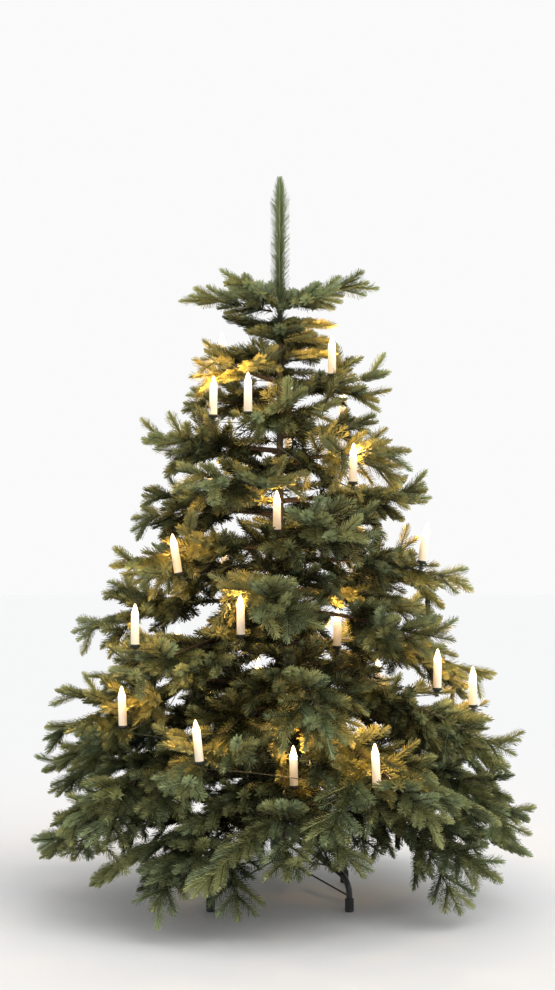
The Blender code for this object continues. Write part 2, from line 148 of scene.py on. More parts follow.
# Crown's rule: top
WHORL_COUNT = 6
WHORL_HEIGHT = 0.006
WHORL_PITCH = 0.008
WHORL_REACH = 0.225
WHORL_RISE = (11.0, 15.0, 2.0, 13.0, 6.0, 10.0)
WHORL_TURN = 175.0
WHORL_STEP = 62.0
WHORL_TWIST = 24.0
LEADER_FOOT = 1.515
CROWN_TOP_FLOOR = 1.405
CROWN_TOP_SLOPE = 0.15

# Stand, as in the solids
LEG_COUNT = 4
LEG_TURN = 45.0
LEG_RADIUS = 0.0075
LEG_SLOPE = 23.0
LEG_REACH = 0.236
HUB_TOP = 0.205
HUB_RADIUS = 0.0240
LEG_PIVOT_HEIGHT = 0.165
FOOT_RADIUS = 0.0098
FOOT_HEIGHT = 0.030
STAND_CLEARANCE = 0.016
STAND_NODES = ("stand_hub", "stand_brace") + tuple(f"stand_leg_{n + 1}" for n in range(LEG_COUNT))

# Finer growth than the solids have
SEED = 20
WANDER = 9.0
CREST_ROLL = 62.0
CREST_ANGLE = 46.0
WHORL_CREST_ANGLE = 24.0
CREST_SHARE = 0.75
AXIS_DENSITY = 0.50
AXIS_START = 0.022
STEM_BRUSH_START = 0.045
STEM_BRUSH_STEP = 0.05
TUFT_START = 0.035
TUFT_PITCH = 0.055
TUFT_LENGTH = 0.105
TUFT_SPREAD = 52.0
INNER_DENSITY = 0.40
FORK_SIDES = ((0.16, 0.72, 44.0), (0.46, 0.56, 38.0))
LINK_ALONG = 0.80
FORK_OVER_REACH = 0.015
HANG_START = 0.42
HANG_PITCH = 0.072
HANG_LENGTH = 0.100
HANG_DROP = (0.05, 0.60)
HANG_SIDE = (0.05, 0.80)
LOW_LIMBS = 13
LOW_HANG_START = 0.36
LOW_HANG_PITCH = 0.068
LOW_HANG_LENGTH = 0.118
LOW_HANG_DROP = (-0.10, 0.35)
LOW_HANG_SIDE = (0.20, 1.30)
LOW_LINKS = 3
LINK_DROP = 0.20
SKIRT_HEIGHT = 0.135
POLE_TUFT_FOOT = 0.36
POLE_TUFT_DENSE = 1.10
POLE_TUFT_PITCH = 0.031
POLE_NEEDLES_FOOT = 1.12
POLE_NEEDLES_STEP = 0.083
LEADER_DENSITY = 2.1
LEADER_NEEDLE_SCALE = 1.6

# Needles: rows round a twig, in degrees from its right, and how each row's needles lie
ROW_TURNS = (2.0, 178.0, 40.0, 140.0, 76.0, 104.0, -42.0, 222.0)
ROW_PHASES = (0.0, 0.0, 0.05, 0.05, 0.10, 0.10, 0.5, 0.5)
ROW_SCATTER = 5.0
ALONG_SCATTER = 0.12
NEEDLE_ANGLE = 50.0
TIP_NEEDLE_ANGLE = 6.0
ANGLE_SCATTER = 3.0
TIP_ZONE = 0.013
TIP_CROWDING = 1.22
LEADER_TIP_ZONE = 0.060
NEEDLE_SCATTER = 0.08
TIP_NEEDLE_SHARE = 0.76
BELOW_NEEDLE_SHARE = 0.80
TOP_NEEDLE_SHARE = 0.88
BRUSH_END = 0.97
NEEDLE_FOOT_SHARE = 1.0
NEEDLE_TIP_SHARE = 0.62
NEEDLE_ROLL = 22.0
PIECE_NEEDLES = 95000

# Tones of the needles: share of the lightest colour in each, from dark to light, dealt as painted shade and
# painted light and partly by chance, then the lit ones, which are painted glow of the flames
TONE_STEPS = (0.0, 0.15, 0.31, 0.48, 0.65, 0.82, 1.0)
TONE_HUES = ((1.06, 1.00, 0.84), (0.93, 0.99, 1.00))
WARM_SHARE = 0.60
# Painted shade: a spray's tone rises from the darkest at this share of the crown's reach to the lightest at the
# next
TONE_DARK_AT = 0.46
TONE_LIGHT_AT = 1.00
PAINTED_SHADE_STEPS = 4.7
TONE_SCATTER = 0.75
NEEDLE_TONE_SCATTER = 1.1
# Along each brush the tone rises from foot to tip, partly as painted shade at the foot and partly as the lighter
# tips of new growth
TONE_RISE_ALONG = 2.2
# Painted light and shade round each brush: upper rows lighter, lower rows darker
PAINTED_TOP_LIGHT = 1.2
# Painted shade eased near the top, from this height to the next, where all the sprays are near the pole
TOP_LIGHTER_FROM = 1.10
TOP_LIGHTER_TO = 1.45
TOP_LIGHTER = 0.40
# Painted glow: lit tones are base colours for the sprays near a flame, standing in for its light, and how near
# they are
LIT_STEPS = (0.18, 0.42, 0.72)
LIT_RANGE = (0.100, 0.060)

# Wrap on the pole and the limbs
WRAP_PITCH = 0.011
WRAP_DEPTH = 0.07
POLE_SIDES = 24
POLE_RING_STEP = 0.0035
LIMB_SIDES = 6
LIMB_RING_STEP = 0.008

# Photograph's camera
IMAGE_SIZE = (555, 990)
CAMERA_PLACE = (-0.006, -4.6, 1.0015)
LENS = 67.04
SENSOR = 36.0

# Candles in view: image column and row of the foot of each, and how far its top leans to the right
# of its foot, in degrees. Each one then stands on the nearest twig there.
Seen = namedtuple("Seen", "column row lean")
SEEN_CANDLES = (
    Seen(332, 378, 0),
    Seen(248, 416, 0),
    Seen(213, 419, 1),
    Seen(353, 486, 1),
    Seen(277, 534, 0),
    Seen(421, 565, 9),
    Seen(179, 577, -9),
    Seen(241, 639, -1),
    Seen(337, 650, 1),
    Seen(135, 649, 0),
    Seen(437, 692, 1),
    Seen(473, 709, 0),
    Seen(123, 730, -2),
    Seen(200, 766, -6),
    Seen(294, 790, -1),
    Seen(377, 789, -3),
)
SEAT_WINDOW = 14.0
SEAT_OFF_COST = 0.025
CROSSED_COST = 0.50
SEAT_SHARES = (0.1, 0.2, 0.3, 0.4, 0.5, 0.6)
CARRIER_BEYOND = 0.035
CANDLE_ROWS = 44.0
BACK_CANDLE_COUNT = 12
BACK_LOWEST = 0.30
BACK_HIGHEST = 1.30
BACK_DEPTH_SHARE = 0.86
CANDLE_SPACING = 0.16
CANDLE_SPACING_SEEN = 45.0

# Parts of a candle, up from the twig
CLIP_GRIP = 0.0030
DISH_HEIGHT = 0.0035
HOLDER_HEIGHT = 0.0045
CLEARANCE = 0.0025
SHOWN_HALF = 8.5
SHOWN_LEG_COLUMNS = (337.0, 358.0)
SHOWN_LEG_ROW = 872.0
BULB_SWELL = 0.10


# Crown: the rule


def radial(turn):
    return Vector((math.cos(turn), math.sin(turn), 0.0))


def pole_radius(height):
    share = (height - POLE_FOOT) / (POLE_TIP - POLE_FOOT)
    return POLE_FOOT_RADIUS + (POLE_TIP_RADIUS - POLE_FOOT_RADIUS) * share


def crown_reach(tip_height):
    """How far out a limb goes whose tip is at this height."""
    if tip_height < WIDEST_HEIGHT:
        return WIDEST_REACH - REACH_LOSS_BELOW * (WIDEST_HEIGHT - tip_height)
    left = (HIGHEST_TIP - tip_height) / (HIGHEST_TIP - WIDEST_HEIGHT)
    return TOP_REACH + (WIDEST_REACH - TOP_REACH) * max(left, 0.0) ** REACH_POWER


class Limb:
    """The line of one bough and of the stem that goes on from it."""

    def __init__(self, number):
        self.number = number
        self.random = random.Random(number)
        scatter = self.random.uniform(-TURN_SCATTER, TURN_SCATTER)
        self.turn = math.radians(FIRST_TURN + TURN_STEP * number + scatter)
        share = number / (LIMB_COUNT - 1)
        rise = EVEN_SHARE * share + (1.0 - EVEN_SHARE) * share * share
        self.tip_height = LOWEST_TIP + (HIGHEST_TIP - LOWEST_TIP) * rise
        self.tip_height += self.random.uniform(0.0, TIP_SCATTER)
        self.foot_height = FOOT_HEIGHT_BASE + FOOT_HEIGHT_BY_TIP * self.tip_height
        self.reach = crown_reach(self.tip_height) * (1.0 - REACH_SCATTER * self.random.random())
        self.out = radial(self.turn)
        self.across = UP.cross(self.out)
        self.foot = pole_radius(self.foot_height) + GAP
        self.start = BOUGH_END if number < BOUGH_COUNT else self.foot
        self.end = self.reach - min(TERMINAL_LENGTH, TERMINAL_SHARE * self.reach)

    def height(self, distance):
        sag = self.foot_height + SLOPE_AT_POLE * self.reach - self.tip_height
        share = distance / self.reach
        return self.foot_height + SLOPE_AT_POLE * distance - sag * share ** SAG_POWER

    def at(self, distance):
        return self.out * distance + UP * self.height(distance)

    def farness(self, distance, turn, height):
        """How far a place is from this limb's line, with heights stretched."""
        off = (turn - self.turn + math.pi) % math.tau - math.pi
        return math.hypot(distance * off, HEIGHT_STRETCH * (height - self.height(distance)))

    def heading(self, distance):
        if distance <= self.foot:
            return self.out.copy()
        return (self.at(distance + HEADING_STEP) - self.at(distance - HEADING_STEP)).normalized()


def stand_top(distance):
    """The height that foliage stays above, over the legs and then over the floor."""
    if distance > LEG_REACH + LEG_RADIUS + STAND_CLEARANCE:
        return FLOOR_CLEARANCE
    leg_top = LEG_PIVOT_HEIGHT - (distance - HUB_RADIUS) * math.tan(math.radians(LEG_SLOPE))
    return min(leg_top, HUB_TOP) + LEG_RADIUS + STAND_CLEARANCE


def in_space(limb, limbs, point):
    """Whether a point is nearer to this limb than to any other, and clear of pole, stand and top."""
    distance = math.hypot(point.x, point.y)
    if distance < pole_radius(point.z) + SPACE_MARGIN:
        return False
    if not stand_top(distance) < point.z < CROWN_TOP_FLOOR + CROWN_TOP_SLOPE * distance:
        return False
    turn = math.atan2(point.y, point.x)
    own = limb.farness(distance, turn, point.z) + 2.0 * HEIGHT_STRETCH * SPACE_MARGIN
    return all(own < other.farness(distance, turn, point.z) for other in limbs if other is not limb)


def spray_plan(length):
    """The sprays of a branchlet: (foot along the branchlet, side, length), the end one first."""
    plan = [(length - SPRAY_LENGTH, 0, SPRAY_LENGTH)]
    foot = length - LAST_PAIR_SHARE * SPRAY_LENGTH
    while foot > FIRST_PAIR_ALONG:
        for side in (1, -1):
            plan.append((foot, side, SPRAY_LENGTH * LATERAL_SHARE))
        foot -= SPRAY_PITCH
    return plan


def blade_outline(length):
    """The outline that a branchlet's sprays fill, which has to fit the limb's space."""
    half_foot = 0.5 * BLADE_FOOT_WIDTH
    angle = math.radians(SPRAY_ANGLE)
    edge = [(0.0, half_foot)]
    feet = sorted(foot for foot, side, _ in spray_plan(length) if side > 0)
    reach = SPRAY_LENGTH * LATERAL_SHARE
    for foot in feet:
        tip_x = foot + reach * math.cos(angle)
        tip_y = reach * math.sin(angle)
        edge.append((tip_x, tip_y))
        edge.append((foot + NOTCH_ALONG * (tip_x - foot), max(NOTCH_ACROSS * tip_y, half_foot)))
    return edge + [(length, 0.0)] + [(x, -y) for x, y in reversed(edge)]


def frame_on(root, heading, twist):
    """A frame with X along the heading and Z as near to straight up as it can be, then twisted."""
    side = UP.cross(heading).normalized()
    turned = Matrix((heading, side, heading.cross(side))).transposed().to_4x4()
    return Matrix.Translation(root) @ turned @ Matrix.Rotation(math.radians(twist), 4, "X")


def branchlets(limb, limbs):
    """Each branchlet of the limb as (frame, length), those near the pole first."""
    draw = limb.random
    first = max(limb.start + BARE_STEM, BARE_SHARE * limb.reach)
    count = round((limb.end - first) / (PITCH_BASE + PITCH_BY_REACH * limb.reach))
    longest = min(BRANCHLET_LONG, BRANCHLET_SHARE * limb.reach)
    shortest = min(BRANCHLET_SHORT, OUTERMOST_SHARE * longest)
    grown = []
    for number in range(count):
        share = number / count
        distance = first + (limb.end - first) * share
        spread = SPREAD_AT_FOOT + (SPREAD_AT_TIP - SPREAD_AT_FOOT) * share
        roll = ROLLS[(number + limb.number) % len(ROLLS)] + draw.uniform(-ROLL_SCATTER, ROLL_SCATTER)
        twist = TWISTS[(number + limb.number) % len(TWISTS)] + draw.uniform(-TWIST_SCATTER, TWIST_SCATTER)
        hand = 1.0 if number % 2 else -1.0
        tries = []
        for shrink in SHRINK_STEPS:
            length = shrink * (longest + (shortest - longest) * share)
            for levelling in LEVELLING_STEPS:
                heading = branchlet_heading(limb, distance, spread, hand, levelling * roll)
                tries.append((frame_on(limb.at(distance), heading, hand * twist), length))
        grown.append(first_fitting(limb, limbs, tries))
    heading = limb.heading(limb.end)
    length = (limb.reach - limb.end) / math.hypot(heading.x, heading.y)
    place = frame_on(limb.at(limb.end), heading, draw.uniform(-END_TWIST, END_TWIST))
    grown.append(first_fitting(limb, limbs, [(place, length * shrink) for shrink in SHRINK_STEPS]))
    return [found for found in grown if found]


def branchlet_heading(limb, distance, spread, hand, roll):
    """Away from the stem by the spread, on the left or right hand, and rolled up or down about it."""
    forward = limb.heading(distance)
    top = (UP - forward * forward.z).normalized()
    out = limb.across * (hand * math.cos(math.radians(roll))) + top * math.sin(math.radians(roll))
    heading = forward * math.cos(math.radians(spread)) + out * math.sin(math.radians(spread))
    return (heading - UP * DROOP).normalized()


def first_fitting(limb, limbs, tries):
    """The first (frame, length) whose outline stays in the limb's space, or None."""
    for place, length in tries:
        corners = [Vector((x, y, 0.0)) for x, y in blade_outline(length)]
        tested = corners + [0.5 * (a + b) for a, b in zip(corners, corners[1:])]
        if length > SHORTEST_BRANCHLET and all(in_space(limb, limbs, place @ at) for at in tested):
            return place, length
    return None


def whorl():
    """Each branchlet of the whorl under the leader, as (frame, length)."""
    grown = []
    for number in range(WHORL_COUNT):
        root = UP * (POLE_TIP + GAP + WHORL_HEIGHT + WHORL_PITCH * number)
        out = radial(math.radians(WHORL_TURN + WHORL_STEP * number))
        rise = math.radians(WHORL_RISE[number])
        heading = out * math.cos(rise) + UP * math.sin(rise)
        grown.append((frame_on(root, heading, WHORL_TWIST * (-1.0) ** number), WHORL_REACH))
    return grown


@lru_cache(maxsize=None)
def grow_limbs():
    return tuple(Limb(number) for number in range(LIMB_COUNT))


@lru_cache(maxsize=None)
def grow_branchlets():
    """Every branchlet as (limb number, frame, length); the whorl's number is the limb count."""
    limbs = grow_limbs()
    grown = []
    for limb in limbs:
        grown.extend((limb.number, place, length) for place, length in branchlets(limb, limbs))
    grown.extend((LIMB_COUNT, place, length) for place, length in whorl())
    return tuple(grown)


def foliage_node(number):
    return "foliage_top" if number == LIMB_COUNT else f"foliage_{number + 1:02d}"


# Crown: sprays, twigs and needles


class Brushes:
    """Straight axes that needles stand on, as arrays with one row for each."""

    def __init__(self, sizes):
        self.dense = sizes.needles_per_spray / SPRAY_LENGTH
        self.twig = sizes.twig_radius
        self.rows = []

    def add(self, limb, root, axis, up, length, density=1.0, thickness=1.0, scale=1.0):
        needles = self.dense * density * length
        self.rows.append((limb, *root, *axis, *up, length, needles, self.twig * thickness, scale))

    def close(self):
        table = np.array(self.rows)
        self.limb = table[:, 0].astype(int)
        self.root = table[:, 1:4]
        self.axis = table[:, 4:7]
        self.up = table[:, 7:10]
        self.length = table[:, 10]
        self.needles = table[:, 11].astype(int)
        self.radius = table[:, 12]
        self.scale = table[:, 13]
        self.side = np.cross(self.up, self.axis)
        self.side /= np.linalg.norm(self.side, axis=1, keepdims=True)
        self.up = np.cross(self.axis, self.side)
        return self

    def at(self, share):
        """The point at this share of each axis."""
        return self.root + self.axis * (share * self.length)[:, None]

    def kept(self, keep):
        """The brushes that the mask keeps."""
        made = copy(self)
        made.rows = [row for row, stays in zip(self.rows, keep) if stays]
        return made.close()


def grow_sprays(sizes):
    """A brush for each spray, each branchlet's own axis, each stem and the leader."""
    draw = random.Random(SEED)
    brushes = Brushes(sizes)
    for number, place, length in grow_branchlets():
        add_branchlet(brushes, number, place, length, draw)
    for limb in grow_limbs():
        add_stem(brushes, limb)
        add_tufts(brushes, limb, draw)
        add_hanging(brushes, limb, draw)
    add_pole_tufts(brushes, draw)
    add_leader(brushes, sizes)
    return brushes.close()


def add_branchlet(brushes, number, place, length, draw):
    """The sprays of the solid's blade, more that stand out of its plane, and its own axis."""
    turned = place.to_3x3()
    plan = spray_plan(length)
    crest = 1.0 if number % 2 else -1.0
    for foot in [foot for foot, side, _ in plan if side > 0]:
        plan.append((foot + 0.4 * SPRAY_PITCH, 2 * crest, SPRAY_LENGTH * CREST_SHARE))
        crest = -crest
    for foot, side, long in plan:
        wander = draw.uniform(-WANDER, WANDER)
        if abs(side) == 2:
            roll = math.radians(math.copysign(CREST_ROLL, side) + wander)
            out = Vector((0.0, math.cos(roll), math.sin(roll)))
            lift = CREST_ANGLE if number < LIMB_COUNT else WHORL_CREST_ANGLE
            angle = math.radians(lift + draw.uniform(-WANDER, WANDER))
        else:
            out = Vector((0.0, side, math.sin(math.radians(wander))))
            angle = math.radians(SPRAY_ANGLE if side else 0.0)
        axis = Vector((math.cos(angle), 0.0, 0.0)) + out * math.sin(angle)
        axis = (turned @ axis).normalized()
        root = place @ Vector((foot, 0.0, 0.0))
        grown = long * draw.uniform(0.93, 1.0)
        if (root + axis * grown).z > FLOOR_CLEARANCE:
            brushes.add(number, root, axis, turned.col[2], grown)
    bare = max(length - SPRAY_LENGTH - AXIS_START, 0.02)
    root = place @ Vector((AXIS_START, 0.0, 0.0))
    brushes.add(number, root, turned.col[0], turned.col[2], bare, AXIS_DENSITY, 1.5)


def add_stem(brushes, limb):
    """Needles along the stem itself."""
    steps = max(int((limb.end - STEM_BRUSH_START) / STEM_BRUSH_STEP), 1)
    marks = [STEM_BRUSH_START + (limb.end - STEM_BRUSH_START) * step / steps for step in range(steps + 1)]
    for near, far in zip(marks, marks[1:]):
        along = limb.at(far) - limb.at(near)
        brushes.add(limb.number, limb.at(near), along.normalized(), UP, along.length, AXIS_DENSITY, 2.0)


def add_tufts(brushes, limb, draw):
    """Short forked branchlets all round a stem, which fill the crown between the long ones."""
    turn = draw.uniform(0.0, math.tau)
    distance = limb.foot + TUFT_START
    while distance < limb.end:
        forward = limb.heading(distance)
        top = (UP - forward * forward.z).normalized()
        out = limb.across * math.cos(turn) + top * math.sin(turn)
        spread = math.radians(TUFT_SPREAD + draw.uniform(-WANDER, WANDER))
        axis = forward * math.cos(spread) + out * math.sin(spread)
        long = TUFT_LENGTH * draw.uniform(0.85, 1.1)
        density = INNER_DENSITY + (1.0 - INNER_DENSITY) * distance / limb.reach
        add_fork(brushes, limb.number, limb.at(distance), axis, long, density)
        turn += GOLDEN_ANGLE
        distance += TUFT_PITCH * draw.uniform(0.85, 1.15)


def add_hanging(brushes, limb, draw):
    """Forks that droop from the outer half of a stem, in front of the dark inside."""
    start, pitch, length, drop, aside, links = HANG_START, HANG_PITCH, HANG_LENGTH, HANG_DROP, HANG_SIDE, 1
    if limb.number < LOW_LIMBS:
        start, pitch, length = LOW_HANG_START, LOW_HANG_PITCH, LOW_HANG_LENGTH
        drop, aside, links = LOW_HANG_DROP, LOW_HANG_SIDE, LOW_LINKS
    distance = start * limb.reach
    hand = 1.0 if limb.number % 2 else -1.0
    while distance < limb.end + STEM_OVERLAP:
        side = limb.across * (hand * draw.uniform(*aside))
        axis = limb.heading(distance) * 0.75 + side - UP * draw.uniform(*drop)
        foot = limb.at(distance)
        for _ in range(links):
            long = length * draw.uniform(0.85, 1.1)
            foot = add_fork(brushes, limb.number, foot, axis, long, 1.0)
            axis = axis - UP * LINK_DROP
            if foot.z < SKIRT_HEIGHT:
                break
        hand = -hand
        distance += pitch * draw.uniform(0.85, 1.15)


def add_pole_tufts(brushes, draw):
    """Forked branchlets on the pole itself, between the limbs and up to the whorl, and needles."""
    height = POLE_TUFT_FOOT
    turn = 0.0
    while height < POLE_TIP:
        near_top = max(0.0, (height - POLE_TUFT_DENSE) / (POLE_TIP - POLE_TUFT_DENSE))
        out = radial(turn)
        axis = out + UP * math.tan(math.radians(draw.uniform(-14.0, 16.0)))
        long = TUFT_LENGTH * draw.uniform(0.95, 1.15) * (1.0 + 0.30 * near_top)
        number = min(range(LIMB_COUNT), key=lambda n: abs(grow_limbs()[n].foot_height - height))
        density = INNER_DENSITY + (1.0 - INNER_DENSITY) * near_top
        add_fork(brushes, number, UP * height + out * pole_radius(height), axis, long, density)
        turn += GOLDEN_ANGLE
        height += POLE_TUFT_PITCH * (1.0 - 0.6 * near_top)
    height = POLE_NEEDLES_FOOT
    while height < POLE_TIP:
        number = min(range(LIMB_COUNT), key=lambda n: abs(grow_limbs()[n].foot_height - height))
        across = Vector((0.0, 1.0, 0.0))
        brushes.add(number, UP * height, UP, across, POLE_NEEDLES_STEP, 1.0, 4.0, 1.2)
        height += POLE_NEEDLES_STEP


def add_fork(brushes, number, root, axis, long, density):
    """A spray with two on each side of it, lifted where the floor is too near, each part left out that reaches
    past the crown or down to the stand or the floor.

    Gives the place near its end where another could go on.
    """
    axis = axis.normalized()
    lowest = (FLOOR_CLEARANCE + 0.010 - root.z) / long
    axis = Vector((axis.x, axis.y, max(axis.z, lowest))).normalized()
    side = UP.cross(axis).normalized()
    up = axis.cross(side)
    plan = [(root, axis, long)]
    for along, share, angle in FORK_SIDES:
        for hand in (-1.0, 1.0):
            turned = axis * math.cos(math.radians(angle)) + side * (hand * math.sin(math.radians(angle)))
            plan.append((root + axis * (along * long), turned, long * share))
    for foot, heading, length in plan:
        ends = [foot + heading * (length * share) for share in (0.4, 0.7, 1.0)]
        tip = ends[-1]
        if math.hypot(tip.x, tip.y) > crown_reach(tip.z) + FORK_OVER_REACH:
            continue
        if all(end.z > stand_top(math.hypot(end.x, end.y)) - STAND_CLEARANCE for end in ends):
            brushes.add(number, foot, heading, up, length, density)
    return root + axis * (LINK_ALONG * long)


def add_leader(brushes, sizes):
    """The leader and its neck: two brushes back to back, with longer needles."""
    long = sizes.needle_length * LEADER_NEEDLE_SCALE * TIP_NEEDLE_SHARE
    foot = UP * (POLE_TIP + GAP)
    shown = (TREE_HEIGHT - foot.z - 1.05 * long) / BRUSH_END
    for across in (Vector((0.3, 1.0, 0.0)), Vector((-0.3, -1.0, 0.0))):
        up = across.normalized()
        brushes.add(LIMB_COUNT, foot, UP, up, shown, 0.5 * LEADER_DENSITY, 2.0, LEADER_NEEDLE_SCALE)


def needle_mesh(brushes, tones, sizes, candles):
    """Corners, triangles and tones of the needles on these brushes, clear of the candles."""
    draw = np.random.default_rng(SEED + int(brushes.limb[0]))
    owner = np.repeat(np.arange(len(brushes.length)), brushes.needles)
    total = len(owner)
    first = np.concatenate(([0], np.cumsum(brushes.needles)[:-1]))
    order = np.arange(total) - first[owner]
    rows = len(ROW_TURNS)
    step = order // rows + np.array(ROW_PHASES)[order % rows]
    step = step + draw.uniform(-ALONG_SCATTER, ALONG_SCATTER, total)
    along = 1.0 - (1.0 - np.clip(step * rows / brushes.needles[owner], 0.0, 1.0)) ** TIP_CROWDING
    turn = np.array(ROW_TURNS)[order % rows] + draw.uniform(-ROW_SCATTER, ROW_SCATTER, total)
    turn = np.radians(turn)
    zone = np.where(brushes.scale > 1.3, LEADER_TIP_ZONE, TIP_ZONE)[owner]
    close = np.clip(1.0 - (1.0 - along) * brushes.length[owner] / zone, 0.0, 1.0)
    angle = NEEDLE_ANGLE / brushes.scale[owner] ** 0.35
    angle = angle + (TIP_NEEDLE_ANGLE - angle) * close ** 1.2
    angle = np.radians(angle + draw.uniform(-ANGLE_SCATTER, ANGLE_SCATTER, total))
    long = sizes.needle_length * (1.0 + draw.uniform(-NEEDLE_SCATTER, NEEDLE_SCATTER, total))
    long *= brushes.scale[owner]
    long *= 1.0 + (TIP_NEEDLE_SHARE - 1.0) * close
    long *= np.where(np.sin(turn) < -0.2, BELOW_NEEDLE_SHARE, 1.0)
    long *= np.where(np.sin(turn) > 0.9, TOP_NEEDLE_SHARE, 1.0)
    side, up, axis = brushes.side[owner], brushes.up[owner], brushes.axis[owner]
    out = side * np.cos(turn)[:, None] + up * np.sin(turn)[:, None]
    heading = axis * np.cos(angle)[:, None] + out * np.sin(angle)[:, None]
    foot = brushes.root[owner] + axis * (along * BRUSH_END * brushes.length[owner])[:, None]
    foot = foot + out * (0.6 * brushes.radius[owner])[:, None]
    tip = foot + heading * long[:, None]
    keep = tip[:, 2] < TREE_HEIGHT
    keep &= tip[:, 2] > 0.5 * FLOOR_CLEARANCE
    for candle in candles:
        for share in (0.0, 0.5, 1.0):
            keep &= ~candle.holds(foot + (tip - foot) * share)
    # Painted light and shade within a brush: lighter upper rows and darker lower rows, and a rise from foot to tip
    # that is partly painted shade at the foot and partly the lighter tips of new growth
    step = TONE_RISE_ALONG * (along - 0.55) + PAINTED_TOP_LIGHT * np.sin(turn)
    step = step + draw.uniform(-NEEDLE_TONE_SCATTER, NEEDLE_TONE_SCATTER, total)
    foot, tip, heading, out, owner, step = (array[keep] for array in (foot, tip, heading, out, owner, step))
    flat = np.cross(heading, out)
    flat /= np.linalg.norm(flat, axis=1, keepdims=True)
    roll = np.radians(draw.uniform(-NEEDLE_ROLL, NEEDLE_ROLL, len(foot)))[:, None]
    half = 0.5 * sizes.needle_width * (flat * np.cos(roll) + np.cross(heading, flat) * np.sin(roll))
    wide = half * NEEDLE_FOOT_SHARE
    slim = half * NEEDLE_TIP_SHARE
    corners = np.stack((foot - wide, foot + wide, tip + slim, tip - slim), axis=1).reshape(-1, 3)
    base = 4 * np.arange(len(foot))[:, None]
    triangles = np.concatenate((base + (0, 1, 2), base + (0, 2, 3)), axis=1).reshape(-1, 3)
    tone = tones[owner]
    step = np.round(step).astype(int)
    hues, plain = len(TONE_HUES), len(TONE_HUES) * len(TONE_STEPS)
    level = np.clip(tone // hues + step, 0, len(TONE_STEPS) - 1)
    lit = plain + np.clip(tone - plain + step, 0, len(LIT_STEPS) - 1)
    return corners, triangles, np.repeat(np.where(tone < plain, level * hues + tone % hues, lit), 2)


def deal_tones(brushes, candles):
    """One tone for each brush: darker towards the pole as painted shade, eased near the top and on the leader,
    some by chance, and a lit one near a flame as painted glow.
    """
    draw = np.random.default_rng(SEED)
    middle = brushes.at(0.5)
    away = np.hypot(middle[:, 0], middle[:, 1])
    reach = np.array([crown_reach(height) for height in middle[:, 2]])
    share = np.clip((away / reach - TONE_DARK_AT) / (TONE_LIGHT_AT - TONE_DARK_AT), 0.0, 1.0)
    high = (middle[:, 2] - TOP_LIGHTER_FROM) / (TOP_LIGHTER_TO - TOP_LIGHTER_FROM)
    share = np.clip(share + TOP_LIGHTER * np.clip(high, 0.0, 1.0), 0.0, 1.0)
    # The leader gets nearly the lightest share, free of the painted shade
    share[middle[:, 2] > LEADER_FOOT] = 0.95
    level = PAINTED_SHADE_STEPS * share + draw.normal(0.0, TONE_SCATTER, len(share))
    level = np.clip(np.round(level), 0, len(TONE_STEPS) - 1).astype(int)
    tones = level * len(TONE_HUES) + (draw.random(len(share)) > WARM_SHARE)
    # Painted glow: sprays near a flame get a lit tone, the nearer the brighter
    for step, reach in enumerate(LIT_RANGE):
        for candle in candles:
            for share in (0.3, 0.6, 0.9):
                near = np.linalg.norm(brushes.at(share) - np.array(candle.flame), axis=1) < reach
                tones[near] = len(TONE_HUES) * len(TONE_STEPS) + step
    return tones


# Candles: where they stand


class Candle:
    """A place for a candle: the point on the twig, and the way it points."""

    def __init__(self, seat, upward, sizes):
        self.seat = seat
        self.upward = upward
        self.sizes = sizes
        foot = CLIP_GRIP + DISH_HEIGHT + HOLDER_HEIGHT
        self.height = foot + sizes.candle_length + sizes.flame_length
        self.flame = seat + upward * (self.height - 0.5 * sizes.flame_length)

    def distances(self, points):
        """How high above the seat each point is, and how far from the candle's axis."""
        off = points - np.array(self.seat)
        high = off @ np.array(self.upward)
        away = np.linalg.norm(off - high[:, None] * np.array(self.upward), axis=1)
        return high, away

    def holds(self, points):
        """Whether each point is inside the candle or too near to it."""
        high, away = self.distances(points)
        by_dish = (high > CLIP_GRIP - 0.001) & (high < CLIP_GRIP + DISH_HEIGHT + 0.002)
        by_shaft = (high >= CLIP_GRIP) & (high < self.height + 0.004)
        in_dish = by_dish & (away < self.sizes.dish_radius + CLEARANCE)
        return in_dish | (by_shaft & (away < self.sizes.candle_radius + CLEARANCE))


def image_places(points):
    """Image columns and rows of the points, and how far in front of the camera they are."""
    focal = LENS / SENSOR * max(IMAGE_SIZE)
    depth = points[:, 1] - CAMERA_PLACE[1]
    column = 0.5 * IMAGE_SIZE[0] + focal * (points[:, 0] - CAMERA_PLACE[0]) / depth
    row = 0.5 * IMAGE_SIZE[1] - focal * (points[:, 2] - CAMERA_PLACE[2]) / depth
    return column, row, depth


def seat_points(brushes):
    """Points on the sprays' twigs that a clip could grip."""
    return np.concatenate([brushes.at(share) for share in SEAT_SHARES])


def seen_at(column, row, depth):
    """The point that shows at this place in the image, this far in front of the camera."""
    scale = depth / (LENS / SENSOR * max(IMAGE_SIZE))
    x = CAMERA_PLACE[0] + (column - 0.5 * IMAGE_SIZE[0]) * scale
    z = CAMERA_PLACE[2] + (0.5 * IMAGE_SIZE[1] - row) * scale
    return Vector((x, CAMERA_PLACE[1] + depth, z))


def add_carrier(brushes, number, seat):
    """A spray from the foot of this one whose twig passes under a candle."""
    row = brushes.rows[number]
    root = Vector(row[1:4])
    along = seat - root
    brushes.add(row[0], root, along.normalized(), Vector(row[7:10]), along.length + CARRIER_BEYOND)


